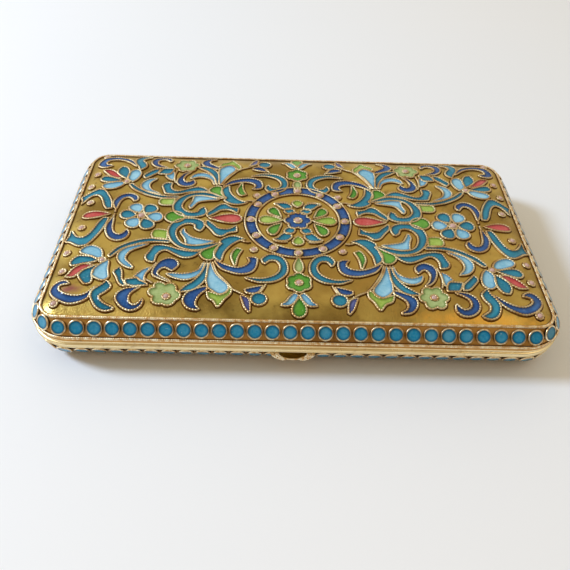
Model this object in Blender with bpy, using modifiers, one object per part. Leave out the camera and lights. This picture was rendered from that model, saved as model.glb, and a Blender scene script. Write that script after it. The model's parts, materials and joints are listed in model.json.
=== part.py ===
"""A cushion-shaped enamel cigarette case, closed and lying on its base: base, lid and hinge pin.

The case lies along X, the thumb notch faces -Y, the hinge is at +Y, and Z is up. The origin is at the
middle of the underside, on the plane of the base's raised ornament.
"""

import math

import bmesh
import bpy
from mathutils import Matrix, Vector

MM = 0.001

# Plan of the case, measured over the lid's plain rim; its corners tighten from the rim to the rope
CASE_LENGTH = 101.5 * MM
CASE_DEPTH = 56.0 * MM
RIM_CORNER_RADIUS = 9.0 * MM
ROPE_CORNER_RADIUS = 3.5 * MM

# Sheet and fits
WALL = 0.8 * MM
RELIEF = 0.35 * MM
JOINT_GAP = 0.3 * MM
BEZEL_THICKNESS = 0.6 * MM
BEZEL_HEIGHT = 1.2 * MM
BEZEL_CLEARANCE = 0.3 * MM

# Lid section: a plain rim, a round edge that carries the circles, and a domed panel
LID_RIM_HEIGHT = 0.93 * MM
LID_RIM_PROUD = 0.35 * MM
LID_RIM_CHAMFER = 0.14 * MM
LID_GROOVE_DEPTH = 0.05 * MM
LID_GROOVE_RISE = 0.28 * MM
LID_EDGE_RADIUS = 5.1 * MM
LID_LOWER_ROPE_DEG = 15.0
LID_BED_START_DEG = 22.0

# Base section: a steeper edge without the lower rope, set back under the lid's rim
BASE_RIM_HEIGHT = 0.25 * MM
BASE_SETBACK = 0.85 * MM
BASE_LEDGE = 0.3 * MM
BASE_LEDGE_HEIGHT = 0.25 * MM
BASE_EDGE_RADIUS = 4.1 * MM
BASE_BED_START_DEG = 8.0

# Both domes
DOME_RADIUS = 10.6 * MM
EDGE_START_DEG = 5.0
UPPER_ROPE_DEG = 62.0
ROPE_RADIUS = 0.28 * MM
BED_SWEEP_DEG = 36.0

# Enamel circles round both edges
CIRCLE_RADIUS = 1.43 * MM
CIRCLE_GAP = 0.38 * MM
CIRCLE_HEIGHT = 0.45 * MM
CIRCLE_SIDES = 6

# Thumb notch in the base's front edge
NOTCH_HALF_WIDTH = 2.75 * MM
NOTCH_DROP = 2.2 * MM
NOTCH_FRAME_WIDTH = 1.5 * MM
NOTCH_LIP = 0.65 * MM
NOTCH_FRAME_PROUD = 0.6 * MM

# Hinge along the back edge
HINGE_LENGTH = 72.0 * MM
HINGE_OVERHANG = 0.1 * MM
BARREL_RADIUS = 1.2 * MM
PIN_RADIUS = 0.45 * MM
PIN_CLEARANCE = 0.3 * MM
KNUCKLE_GAP = 0.3 * MM
KNUCKLE_COUNT = 5

# Ornament: its centre lies this far towards the hinge from the middle of the lid
ORNAMENT_SHIFT = 1.65 * MM
MEDALLION_RADIUS = 11.3 * MM
MEDALLION_BAND = 2.3 * MM

# The drawing of a quarter of the ornament, in its own millimetres, reaches this far to the rope
DRAWING_LENGTH = 48.0
DRAWING_DEPTH = 26.8
LENS_SHOULDER = 0.3
LENS_FULLNESS = 0.9
PETAL_SHOULDER = 0.55
WIDE_GAP_DEG = 50.0

# Facets
CORNER_STEPS = 4
CORNER_LEAST = 0.5 * MM
INSET_HALVINGS = 20
INNER_EDGE_FACETS = 2
DOME_FACETS = 2
BARREL_SIDES = 12
PIN_SIDES = 10
BORE_SIDES = 10
RING_SIDES = 18
NOTCH_STEPS = 8
SHARP_ANGLE_DEG = 30.0
MERGE_DISTANCE = 0.01 * MM

# The leg of the plan that is the front, counted from the back right corner
FRONT_LEG_INDEX = 5

HALF_LENGTH = CASE_LENGTH / 2
HALF_DEPTH = CASE_DEPTH / 2
JOINT_CLEAR = JOINT_GAP / 2
CUT_MARGIN = 1.0 * MM


class Section:
    """One half's outer profile, as inset from the lid's rim and height from the joint plane."""

    def __init__(self, rim_height, setback, edge_radius, bed_start_deg, lower_rope_deg=None):
        self.rim_height = rim_height
        self.setback = setback
        self.edge_radius = edge_radius
        self.lower_rope_deg = lower_rope_deg
        self.bed_low = self.edge_point(bed_start_deg)
        self.bed_high = self.edge_point(bed_start_deg + BED_SWEEP_DEG)
        upper = math.radians(UPPER_ROPE_DEG)
        self.rope_inset = setback + edge_radius * (1 - math.cos(upper))
        self.rope_height = rim_height + edge_radius * math.sin(upper)
        self.panel_inset = self.rope_inset + DOME_RADIUS * math.cos(upper)
        self.panel_height = self.rope_height + DOME_RADIUS * (1 - math.sin(upper))

    def edge_point(self, degrees, offset=0.0):
        """A point of the round edge whose normal rises by this angle, moved out by offset."""
        angle = math.radians(degrees)
        radius = self.edge_radius + offset
        inset = self.setback + self.edge_radius - radius * math.cos(angle)
        return inset, self.rim_height + radius * math.sin(angle)

    def dome_point(self, degrees, offset=0.0):
        """The same on the flatter arc between the upper rope and the panel."""
        angle = math.radians(degrees)
        radius = DOME_RADIUS + offset
        centre_height = self.panel_height - DOME_RADIUS
        return self.panel_inset - radius * math.cos(angle), centre_height + radius * math.sin(angle)

    def height_at(self, inset):
        """Height of the outer surface above the joint at an inset from the rim."""
        if inset >= self.panel_inset:
            return self.panel_height
        if inset >= self.rope_inset:
            run = self.panel_inset - inset
            return self.panel_height - DOME_RADIUS + math.sqrt(DOME_RADIUS**2 - run**2)
        run = min(self.setback + self.edge_radius - inset, self.edge_radius)
        return self.rim_height + math.sqrt(self.edge_radius**2 - run**2)

    def rope(self, degrees):
        """Three points of a half-round rope that stands on the edge at this angle."""
        angle = math.radians(degrees)
        inset, height = self.edge_point(degrees, ROPE_RADIUS / 2)
        points = []
        for turn in (-90, 0, 90):
            way = angle + math.radians(turn)
            points.append((inset - ROPE_RADIUS * math.cos(way), height + ROPE_RADIUS * math.sin(way)))
        return points

    def outer_profile(self, rim):
        """The outside from the joint to the panel, behind the rim's own points."""
        points = list(rim)
        points.append(self.edge_point(EDGE_START_DEG))
        if self.lower_rope_deg is not None:
            points += self.rope(self.lower_rope_deg)
        points.append(self.bed_low)
        points.append(self.bed_high)
        points += self.rope(UPPER_ROPE_DEG)
        for step in range(1, DOME_FACETS + 1):
            points.append(self.dome_point(UPPER_ROPE_DEG + (90 - UPPER_ROPE_DEG) * step / DOME_FACETS))
        return points

    def inner_profile(self, start_degrees):
        """The inside from a start angle to the panel's underside, one wall thickness in."""
        points = []
        for step in range(INNER_EDGE_FACETS + 1):
            degrees = start_degrees + (UPPER_ROPE_DEG - start_degrees) * step / INNER_EDGE_FACETS
            points.append(self.edge_point(degrees, -WALL))
        for step in range(1, DOME_FACETS + 1):
            degrees = UPPER_ROPE_DEG + (90 - UPPER_ROPE_DEG) * step / DOME_FACETS
            points.append(self.dome_point(degrees, -WALL))
        return points


LID = Section(LID_RIM_HEIGHT, LID_RIM_PROUD, LID_EDGE_RADIUS, LID_BED_START_DEG, LID_LOWER_ROPE_DEG)
BASE = Section(BASE_RIM_HEIGHT, BASE_SETBACK, BASE_EDGE_RADIUS, BASE_BED_START_DEG)

JOINT_HEIGHT = BASE.panel_height + RELIEF
HINGE_Y = HALF_DEPTH + HINGE_OVERHANG
LID_INNER_INSET = LID.setback + WALL
BEZEL_OUTER_INSET = LID_INNER_INSET + BEZEL_CLEARANCE
BEZEL_INNER_INSET = BEZEL_OUTER_INSET + BEZEL_THICKNESS


def corner_radius(inset):
    """The plan's corner radius at an inset: it narrows fast down to the rope, then evenly."""
    pinch = (RIM_CORNER_RADIUS - ROPE_CORNER_RADIUS) / LID.rope_inset
    within_rope = ROPE_CORNER_RADIUS + LID.rope_inset - inset
    return max(RIM_CORNER_RADIUS - pinch * inset, within_rope, CORNER_LEAST)


def corner_point(corner, share, inset):
    """A point this share of the way round a corner of the plan, moved in by inset."""
    side_x, side_y = ((1, 1), (-1, 1), (-1, -1), (1, -1))[corner]
    radius = corner_radius(inset)
    angle = math.radians(90 * (corner + share))
    return (side_x * (HALF_LENGTH - inset - radius) + radius * math.cos(angle),
            side_y * (HALF_DEPTH - inset - radius) + radius * math.sin(angle))


def plan_outline(inset):
    """The case's rounded rectangle, moved in by inset, as points in order round the case."""
    return [corner_point(corner, step / CORNER_STEPS, inset)
            for corner in range(4) for step in range(CORNER_STEPS + 1)]


def plan_inset(x, y):
    """How far a point of the plan lies inside the lid's rim."""
    from_end = HALF_LENGTH - abs(x)
    from_side = HALF_DEPTH - abs(y)
    low = 0.0
    high = max(min(from_end, from_side), 0.0)
    for _ in range(INSET_HALVINGS):
        middle = (low + high) / 2
        radius = corner_radius(middle)
        past_end = max(middle + radius - from_end, 0.0)
        past_side = max(middle + radius - from_side, 0.0)
        if math.hypot(past_end, past_side) > radius:
            high = middle
        else:
            low = middle
    return low


def plan_legs(inset):
    """Lengths round the outline from its back right corner: a corner, then the side that follows."""
    radius = corner_radius(inset)
    turn = radius * math.pi / 2
    long_side = 2 * (HALF_LENGTH - inset - radius)
    short_side = 2 * (HALF_DEPTH - inset - radius)
    return [turn, long_side, turn, short_side] * 2


def plan_walk(inset, distance):
    """A place this far round from the front's middle: the leg, the share of it, the outward angle."""
    legs = plan_legs(inset)
    distance = (distance + sum(legs[:FRONT_LEG_INDEX]) + legs[FRONT_LEG_INDEX] / 2) % sum(legs)
    for leg, length in enumerate(legs):
        if distance <= length or leg == len(legs) - 1:
            break
        distance -= length
    share = distance / length
    quarters = (leg + 1) // 2 if leg % 2 else leg // 2 + share
    return leg, share, 90 * quarters


def plan_at(leg, share, inset):
    """The point of the outline on a leg, moved in by inset."""
    if leg % 2 == 0:
        return corner_point(leg // 2, share, inset)
    start = corner_point(leg // 2, 1, inset)
    end = corner_point((leg // 2 + 1) % 4, 0, inset)
    return start[0] + (end[0] - start[0]) * share, start[1] + (end[1] - start[1]) * share


def object_from(bm, name, collection):
    """Closes a bmesh into a new object with its faces outwards."""
    bmesh.ops.recalc_face_normals(bm, faces=bm.faces)
    mesh = bpy.data.meshes.new(name)
    bm.to_mesh(mesh)
    bm.free()
    made = bpy.data.objects.new(name, mesh)
    collection.objects.link(made)
    return made


def loft_half(section_points, upward, name, collection):
    """A closed half: its section, outside then inside, carried round the plan and capped at the panels."""
    bm = bmesh.new()
    rings = []
    for inset, height in section_points:
        z = JOINT_HEIGHT + (height if upward else -height)
        rings.append([bm.verts.new((x, y, z)) for x, y in plan_outline(inset)])
    for lower, upper in zip(rings, rings[1:]):
        count = len(lower)
        for here in range(count):
            after = (here + 1) % count
            bm.faces.new((lower[here], lower[after], upper[after], upper[here]))
    bm.faces.new(rings[0])
    bm.faces.new(rings[-1])
    return object_from(bm, name, collection)


def prism(bm, outline, section, upward):
    """A raised motif: it starts inside the wall and its top follows the dome, one relief higher."""
    floor, top = [], []
    for x, y in outline:
        surface = section.height_at(plan_inset(x, y))
        for ring, height in ((floor, surface - WALL / 2), (top, surface + RELIEF)):
            z = JOINT_HEIGHT + (height if upward else -height)
            ring.append(bm.verts.new((x, y, z)))
    count = len(outline)
    caps = [bm.faces.new(floor), bm.faces.new(top)]
    for here in range(count):
        after = (here + 1) % count
        bm.faces.new((floor[here], floor[after], top[after], top[here]))
    bmesh.ops.triangulate(bm, faces=caps)


def spline(points, samples):
    """Points evenly spaced in parameter along a smooth curve through the given ones."""
    ends = [points[0]] + list(points) + [points[-1]]
    result = []
    spans = len(points) - 1
    for index in range(samples):
        place = spans * index / (samples - 1)
        span = min(int(place), spans - 1)
        t = place - span
        a, b, c, d = (Vector(p) for p in ends[span:span + 4])
        result.append(0.5 * ((2 * b) + (c - a) * t + (2 * a - 5 * b + 4 * c - d) * t**2
                             + (3 * b - a - 3 * c + d) * t**3))
    return result


def ribbon(spine, half_widths, samples):
    """Outline of a leaf or scroll: a smooth spine with its half-width given at each point."""
    line = spline([(x, y, w) for (x, y), w in zip(spine, half_widths)], samples)
    left, right = [], []
    for behind, here, ahead in zip(line, line[1:], line[2:]):
        across = Vector((behind.y - ahead.y, ahead.x - behind.x)).normalized() * here.z
        left.append((here.x + across.x, here.y + across.y))
        right.append((here.x - across.x, here.y - across.y))
    return [tuple(line[0].xy)] + left + [tuple(line[-1].xy)] + right[::-1]


def lens(start, end, half_width):
    """Outline of a pointed petal between two points."""
    run = Vector(end) - Vector(start)
    across = Vector((-run.y, run.x)).normalized() * half_width
    outline = []
    near, far, full = LENS_SHOULDER, 1 - LENS_SHOULDER, LENS_FULLNESS
    for share, side in ((0, 0), (near, full), (far, full), (1, 0), (far, -full), (near, -full)):
        outline.append(tuple(Vector(start) + run * share + across * side))
    return outline


def blossom(centre, petals, hub, half_width):
    """Outline of a flower: a pointed petal along each (degrees, length), with a hub between petals."""
    outline = []
    for index, (degrees, length) in enumerate(petals):
        after = petals[(index + 1) % len(petals)][0]
        gap = (after - degrees) % 360
        way = math.radians(degrees)
        along = Vector((math.cos(way), math.sin(way)))
        across = Vector((-along.y, along.x)) * half_width
        outline.append(Vector(centre) + along * length * PETAL_SHOULDER - across)
        outline.append(Vector(centre) + along * length)
        outline.append(Vector(centre) + along * length * PETAL_SHOULDER + across)
        if gap > WIDE_GAP_DEG:
            valley = math.radians(degrees + gap / 2)
            outline.append(Vector(centre) + Vector((math.cos(valley), math.sin(valley))) * hub)
    return [tuple(point) for point in outline]


def star(centre, points, outer, inner, phase):
    """Outline of a small flower with this many points."""
    outline = []
    for step in range(2 * points):
        reach = outer if step % 2 == 0 else inner
        angle = math.radians(phase + 180 * step / points)
        outline.append((centre[0] + reach * math.cos(angle), centre[1] + reach * math.sin(angle)))
    return outline


def quadrant_motifs():
    """Scrolls, leaves and flowers of the right front quarter, in millimetres from the medallion's centre."""
    return [
        ribbon([(15.8, -7.2), (20, -9.2), (24, -8.6), (25.9, -5.2), (24.8, -1.9), (22.3, -1.2),
                (20.9, -3.6)], [0.3, 0.7, 0.8, 0.8, 0.7, 0.6, 0.2], 8),
        ribbon([(10.6, -6.9), (13.2, -6.9), (15.0, -9.2), (15.8, -12.6)], [0.3, 0.5, 0.7, 0.1], 4),
        ribbon([(9.6, -17.0), (5.6, -17.6), (3.4, -14.6), (4.8, -12.5), (6.8, -13.2)],
               [0.1, 0.6, 0.7, 0.6, 0.4], 6),
        ribbon([(15.9, -13.8), (12.3, -15.4), (9.3, -14.2), (8.9, -12.2)], [0.1, 0.7, 0.7, 0.2], 4),
        [(16.8, -14.3), (14.4, -18.6), (13.2, -20.9), (15.2, -24.4), (17.4, -21.2), (17.3, -17.5)],
        lens((18.0, -14.4), (20.6, -19.8), 0.5),
        ribbon([(19.2, -13.6), (21.2, -15.9), (23.8, -15.4)], [0.2, 0.9, 0.1], 4),
        ribbon([(18.6, -19.4), (21.3, -21.8), (21.0, -24.2), (19.2, -24.9)], [0.2, 0.6, 0.6, 0.1], 4),
        ribbon([(20.6, -11.4), (23.6, -11.0), (27.0, -10.2), (29.4, -11.0), (28.9, -12.8)],
               [0.2, 0.6, 0.8, 0.8, 0.2], 5),
        star((25.6, -21.2), 6, 2.5, 1.5, 0),
        ribbon([(30.8, -9.6), (34.0, -11.6), (33.8, -14.0), (32.2, -15.3)], [0.1, 0.7, 0.7, 0.1], 4),
        blossom((38.3, -13.7), [(-104, 5.0), (-69, 6.4), (-38, 7.2), (-9, 5.8), (27, 5.4)], 1.6, 0.9),
        ribbon([(38.6, -21.8), (40.6, -23.3), (43.4, -23.9), (45.5, -22.4), (45.4, -20.4), (43.9, -20.3)],
               [0.1, 0.5, 0.7, 0.7, 0.5, 0.2], 6),
        ribbon([(29.2, -20.4), (32.0, -21.4), (32.7, -23.4), (31.0, -24.8), (29.7, -23.7)],
               [0.1, 0.6, 0.7, 0.6, 0.2], 5),
        ribbon([(40.4, -2.4), (41.5, -5.8), (43.6, -8.2), (45.8, -7.0)], [0.1, 0.6, 0.8, 0.2], 4),
        ribbon([(38.9, -3.0), (39.2, -5.4), (37.8, -7.2), (36.0, -6.6)], [0.1, 0.5, 0.6, 0.3], 4),
    ]


def long_axis_motifs():
    """What stands on the long axis, mirrored left and right only."""
    six = [(degrees, 3.8) for degrees in range(0, 360, 60)]
    return [
        lens((12.7, 0), (18.8, 0), 1.3),
        blossom((33.1, 0), six, 1.2, 0.95),
        lens((40.0, 0), (45.2, 0), 0.9),
    ]


def short_axis_motifs():
    """What stands on the short axis, mirrored front and back only."""
    return [
        star((0, -18.3), 6, 2.5, 1.6, 0),
        lens((0, -22.0), (0, -25.4), 1.3),
    ]


def placed(outline, side_x, side_y, section, shift):
    """A motif on one quarter of a panel: the drawing is fitted between the shifted centre and the rope."""
    reach_x = HALF_LENGTH - section.rope_inset
    reach_y = HALF_DEPTH - section.rope_inset - side_y * shift
    points = []
    for x, y in outline:
        along = x * reach_x / DRAWING_LENGTH
        across = -y * reach_y / DRAWING_DEPTH
        points.append((side_x * along, side_y * across + shift))
    return points


def ring_band(section, shift, name, collection):
    """The medallion's raised band: an upright rectangle turned about the medallion's axis."""
    inner = MEDALLION_RADIUS - MEDALLION_BAND
    low = section.panel_height - WALL / 2
    high = section.panel_height + RELIEF
    bm = bmesh.new()
    corners = [bm.verts.new((x, 0, z)) for x, z in ((MEDALLION_RADIUS, high), (MEDALLION_RADIUS, low),
                                                    (inner, low), (inner, high))]
    for here, after in zip(corners, corners[1:] + corners[:1]):
        bm.edges.new((here, after))
    band = object_from(bm, name, collection)
    band.location = (0, shift, JOINT_HEIGHT)
    turn = band.modifiers.new("turn", "SCREW")
    turn.steps = RING_SIDES
    turn.render_steps = RING_SIDES
    turn.use_merge_vertices = True
    turn.merge_threshold = MERGE_DISTANCE
    return band


def circle_bosses(section, upward, left_out, name, collection):
    """The raised circles on the round edge, evenly spaced, apart from those that left_out names."""
    middle_inset = (section.bed_low[0] + section.bed_high[0]) / 2
    around = sum(plan_legs(middle_inset))
    count = 2 * round(around / (2 * CIRCLE_RADIUS + CIRCLE_GAP) / 2)
    root = WALL / 2
    half = Matrix.Translation((0, 0, JOINT_HEIGHT)) @ Matrix.Diagonal((1, 1, 1 if upward else -1, 1))
    bm = bmesh.new()
    for index in range(count):
        leg, share, degrees = plan_walk(middle_inset, around * (index + 0.5) / count)
        low, high = (Vector((*plan_at(leg, share, inset), height))
                     for inset, height in (section.bed_low, section.bed_high))
        centre = (low + high) / 2
        if left_out(centre.x, centre.y):
            continue
        way = math.radians(degrees)
        along = Vector((-math.sin(way), math.cos(way), 0))
        outward = along.cross(high - low).normalized()
        turned = Matrix((along.cross(outward), along, outward)).transposed().to_4x4()
        middle = centre + outward * (CIRCLE_HEIGHT - root) / 2
        bmesh.ops.create_cone(bm, cap_ends=True, segments=CIRCLE_SIDES, radius1=CIRCLE_RADIUS,
                              radius2=CIRCLE_RADIUS, depth=CIRCLE_HEIGHT + root,
                              matrix=half @ Matrix.Translation(middle) @ turned)
    return object_from(bm, name, collection)


def relief_object(outlines, section, upward, name, collection):
    """All the raised motifs of one panel, apart from one another, in one cutter mesh."""
    bm = bmesh.new()
    for outline in outlines:
        prism(bm, outline, section, upward)
    return object_from(bm, name, collection)


def rod(radius, length, sides, centre, name, collection):
    """A closed cylinder along X."""
    bpy.ops.mesh.primitive_cylinder_add(vertices=sides, radius=radius, depth=length, location=centre,
                                        rotation=(0, math.pi / 2, 0))
    made = bpy.context.object
    made.name = name
    made.data.name = name
    for holder in list(made.users_collection):
        holder.objects.unlink(made)
    collection.objects.link(made)
    return made


def flat_piece(outline, near_y, far_y, name, collection):
    """An upright plate: an outline in X and Z, carried from one Y to another."""
    bm = bmesh.new()
    front = [bm.verts.new((x, near_y, z)) for x, z in outline]
    face = bm.faces.new(front)
    grown = bmesh.ops.extrude_face_region(bm, geom=[face])
    moved = [item for item in grown["geom"] if isinstance(item, bmesh.types.BMVert)]
    bmesh.ops.translate(bm, vec=(0, far_y - near_y, 0), verts=moved)
    return object_from(bm, name, collection)


def boolean(target, operation, tool):
    """Joins or cuts target with a tool that the build leaves out."""
    tool.hide_render = True
    tool.display_type = "WIRE"
    step = target.modifiers.new(f"{operation.lower()}_{tool.name}", "BOOLEAN")
    step.operation = operation
    step.object = tool
    step.solver = "EXACT"


def half_ellipse(half_width, drop, top, steps):
    """The lower half of an ellipse that hangs from a level top."""
    outline = []
    for step in range(steps + 1):
        angle = math.pi * step / steps
        outline.append((half_width * math.cos(angle), top - drop * math.sin(angle)))
    return outline


def knuckle_spans():
    """Centre and length of each knuckle along X; the even ones belong to the base."""
    length = (HINGE_LENGTH - (KNUCKLE_COUNT - 1) * KNUCKLE_GAP) / KNUCKLE_COUNT
    first = -HINGE_LENGTH / 2 + length / 2
    return [(first + index * (length + KNUCKLE_GAP), length) for index in range(KNUCKLE_COUNT)]


def fit_hinge(shell, own_parity, collection):
    """Clears the other half's knuckles, adds this half's own and bores them for the pin."""
    prefix = shell.name
    clear_radius = BARREL_RADIUS + KNUCKLE_GAP
    for index, (centre_x, length) in enumerate(knuckle_spans()):
        if index % 2 != own_parity:
            place = (centre_x, HINGE_Y, JOINT_HEIGHT)
            pocket = rod(clear_radius, length + 2 * KNUCKLE_GAP, BARREL_SIDES, place,
                         f"{prefix}_pocket_{index}", collection)
            boolean(shell, "DIFFERENCE", pocket)
    for index, (centre_x, length) in enumerate(knuckle_spans()):
        if index % 2 == own_parity:
            place = (centre_x, HINGE_Y, JOINT_HEIGHT)
            knuckle = rod(BARREL_RADIUS, length, BARREL_SIDES, place, f"{prefix}_knuckle_{index}",
                          collection)
            boolean(shell, "UNION", knuckle)
    bore = rod(PIN_RADIUS + PIN_CLEARANCE, HINGE_LENGTH + 2 * CUT_MARGIN, BORE_SIDES,
               (0, HINGE_Y, JOINT_HEIGHT), f"{prefix}_bore", collection)
    boolean(shell, "DIFFERENCE", bore)


def lid_rim():
    """The lid's plain rim: flat below, upright outside, with the groove above it."""
    return [
        (LID_RIM_CHAMFER, JOINT_CLEAR),
        (0.0, JOINT_CLEAR + LID_RIM_CHAMFER),
        (0.0, LID.rim_height),
        (LID_RIM_CHAMFER, LID.rim_height + LID_RIM_CHAMFER),
        (LID.setback + LID_GROOVE_DEPTH, LID.rim_height + LID_GROOVE_RISE),
    ]


def base_rim():
    """The base's narrow ledge under the lid's rim."""
    ledge = BASE.setback - BASE_LEDGE
    return [
        (ledge, JOINT_CLEAR),
        (ledge, JOINT_CLEAR + BASE_LEDGE_HEIGHT),
    ]


def make_lid(parts, cutters):
    """The upper half with its ornament, circles and knuckles."""
    outside = LID.outer_profile(lid_rim())
    inside = [(LID_INNER_INSET, JOINT_CLEAR)] + LID.inner_profile(0)
    lid = loft_half(outside[::-1] + inside, True, "lid", parts)
    outlines = []
    for side_x in (1, -1):
        for side_y in (1, -1):
            for outline in quadrant_motifs():
                outlines.append(placed(outline, side_x, side_y, LID, ORNAMENT_SHIFT))
        outlines += [placed(outline, side_x, -1, LID, ORNAMENT_SHIFT) for outline in long_axis_motifs()]
    for side_y in (1, -1):
        outlines += [placed(outline, 1, side_y, LID, ORNAMENT_SHIFT) for outline in short_axis_motifs()]
    outlines.append(placed(star((0, 0), 6, 4.2, 2.4, 0), 1, -1, LID, ORNAMENT_SHIFT))
    boolean(lid, "UNION", relief_object(outlines, LID, True, "lid_motifs", cutters))
    boolean(lid, "UNION", ring_band(LID, ORNAMENT_SHIFT, "lid_medallion", cutters))
    circles = circle_bosses(LID, True, lambda x, y: False, "lid_circles", cutters)
    boolean(lid, "UNION", circles)
    fit_hinge(lid, 1, cutters)
    return lid


def make_base(parts, cutters):
    """The lower half with its bezel, notch, plainer ornament, circles and knuckles."""
    reach = (BASE.setback + BASE.edge_radius - BEZEL_INNER_INSET) / (BASE.edge_radius - WALL)
    start = math.degrees(math.acos(reach))
    bezel = [
        (BEZEL_OUTER_INSET, JOINT_CLEAR),
        (BEZEL_OUTER_INSET, -BEZEL_HEIGHT),
        (BEZEL_INNER_INSET, -BEZEL_HEIGHT),
    ]
    profile = BASE.outer_profile(base_rim())
    base = loft_half(profile[::-1] + bezel + BASE.inner_profile(start), False, "base", parts)
    outlines = []
    corner = ribbon([(38.0, -22.4), (42.0, -23.2), (44.6, -21.4), (44.2, -18.6), (41.6, -18.0)],
                    [0.2, 0.8, 0.9, 0.7, 0.2], 7)
    spray = ribbon([(14.0, -4.0), (20.0, -8.6), (26.0, -8.0), (28.0, -3.6)], [0.2, 0.9, 0.9, 0.2], 7)
    for side_x in (1, -1):
        for side_y in (1, -1):
            outlines.append(placed(corner, side_x, side_y, BASE, 0))
            outlines.append(placed(spray, side_x, side_y, BASE, 0))
    outlines.append(placed(star((0, 0), 6, 5.0, 3.0, 0), 1, -1, BASE, 0))
    boolean(base, "UNION", relief_object(outlines, BASE, False, "base_motifs", cutters))
    medallion = ring_band(BASE, 0, "base_medallion", cutters)
    medallion.rotation_euler.x = math.pi
    boolean(base, "UNION", medallion)
    frame_half_width = NOTCH_HALF_WIDTH + NOTCH_FRAME_WIDTH

    def left_out(x, y):
        """No circle stands in the notch's frame, nor under the hinge."""
        in_notch = y < 0 and abs(x) < frame_half_width - CIRCLE_RADIUS
        under_hinge = y > HALF_DEPTH - RIM_CORNER_RADIUS and abs(x) < HINGE_LENGTH / 2
        return in_notch or under_hinge

    boolean(base, "UNION", circle_bosses(BASE, False, left_out, "base_circles", cutters))
    top = JOINT_HEIGHT - JOINT_CLEAR
    frame_front = -HALF_DEPTH + BASE_SETBACK - NOTCH_FRAME_PROUD
    frame = flat_piece(half_ellipse(frame_half_width, NOTCH_DROP + NOTCH_LIP, top, NOTCH_STEPS), frame_front,
                       -HALF_DEPTH + BEZEL_OUTER_INSET + BEZEL_THICKNESS / 2, "notch_frame", cutters)
    boolean(base, "UNION", frame)
    notch = flat_piece(half_ellipse(NOTCH_HALF_WIDTH, NOTCH_DROP, top, NOTCH_STEPS)
                       + [(-NOTCH_HALF_WIDTH, top + CUT_MARGIN), (NOTCH_HALF_WIDTH, top + CUT_MARGIN)],
                       frame_front - CUT_MARGIN, -HALF_DEPTH + BEZEL_OUTER_INSET, "notch_cutter", cutters)
    boolean(base, "DIFFERENCE", notch)
    fit_hinge(base, 0, cutters)
    return base


def make_pin(parts):
    """The wire through the knuckles."""
    return rod(PIN_RADIUS, HINGE_LENGTH, PIN_SIDES, (0, HINGE_Y, JOINT_HEIGHT), "hinge_pin", parts)


def shade(piece):
    """Smooth shading with sharp edges where faces meet at more than a small angle."""
    piece.data.shade_smooth()
    piece.data.set_sharp_from_angle(angle=math.radians(SHARP_ANGLE_DEG))


def hang_on_hinge(lid, collection):
    """Parents the lid to an empty on the hinge's axis, with the lid where it was."""
    hinge = bpy.data.objects.new("lid_hinge", None)
    collection.objects.link(hinge)
    hinge.location = (0, HINGE_Y, JOINT_HEIGHT)
    lid.parent = hinge
    lid.location = -hinge.location


def metal(name, colour, roughness):
    """A plain gilt material."""
    made = bpy.data.materials.new(name)
    made.use_nodes = True
    shader = made.node_tree.nodes["Principled BSDF"]
    shader.inputs["Base Color"].default_value = (*colour, 1)
    shader.inputs["Metallic"].default_value = 1.0
    shader.inputs["Roughness"].default_value = roughness
    return made


def main():
    """Builds the case in an emptied scene."""
    for old in list(bpy.data.objects):
        bpy.data.objects.remove(old)
    parts = bpy.data.collections.new("enamel_cigarette_case")
    cutters = bpy.data.collections.new("cutters")
    for collection in (parts, cutters):
        bpy.context.scene.collection.children.link(collection)
    lid = make_lid(parts, cutters)
    base = make_base(parts, cutters)
    pin = make_pin(parts)
    for made, material in (
        (lid, metal("gilt_lid", (0.80, 0.60, 0.28), 0.32)),
        (base, metal("gilt_base", (0.76, 0.56, 0.26), 0.32)),
        (pin, metal("gilt_wire", (0.70, 0.52, 0.27), 0.25)),
    ):
        made.data.materials.append(material)
        shade(made)
    hang_on_hinge(lid, parts)


main()
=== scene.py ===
"""The looks of a cushion-shaped enamel cigarette case, shut and lying on a pale table."""
from __future__ import annotations

import json
import logging
import math
import random
from collections.abc import Callable, Sequence
from dataclasses import dataclass, field
from enum import Enum
from itertools import accumulate

import bmesh
import bpy
import numpy as np
from bmesh.types import BMEdge, BMesh, BMFace, BMVert
from bpy.types import Material, Mesh, Node, NodeSocket, NodeTree, Object
from mathutils import Matrix, Vector
from mathutils.geometry import delaunay_2d_cdt


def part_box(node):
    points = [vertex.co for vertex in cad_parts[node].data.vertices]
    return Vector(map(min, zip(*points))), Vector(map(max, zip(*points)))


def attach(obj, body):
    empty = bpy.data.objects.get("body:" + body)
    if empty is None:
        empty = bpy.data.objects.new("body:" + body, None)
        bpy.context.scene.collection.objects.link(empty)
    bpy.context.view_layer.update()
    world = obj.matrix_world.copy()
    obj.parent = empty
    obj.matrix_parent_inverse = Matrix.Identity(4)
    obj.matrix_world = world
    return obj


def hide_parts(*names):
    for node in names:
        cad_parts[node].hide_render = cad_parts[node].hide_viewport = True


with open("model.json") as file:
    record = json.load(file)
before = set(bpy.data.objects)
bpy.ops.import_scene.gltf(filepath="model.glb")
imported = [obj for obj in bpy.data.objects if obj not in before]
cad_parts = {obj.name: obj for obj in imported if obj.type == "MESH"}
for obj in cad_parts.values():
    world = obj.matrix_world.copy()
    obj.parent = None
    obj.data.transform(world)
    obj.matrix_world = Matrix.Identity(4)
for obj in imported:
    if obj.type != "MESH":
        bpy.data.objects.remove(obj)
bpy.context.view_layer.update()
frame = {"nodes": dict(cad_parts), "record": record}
LOG = logging.getLogger("cigarette_case")

MM = 0.001
SEED = 11

Point = tuple[float, float]
Point3 = tuple[float, float, float]
Station = tuple[int, float]
Colour = tuple[float, float, float]

LID_LOW, LID_HIGH = (Vector(corner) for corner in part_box("lid"))
HINGE = Vector(frame["record"]["behaviour"]["joints"][0]["pos_m"])

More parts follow.
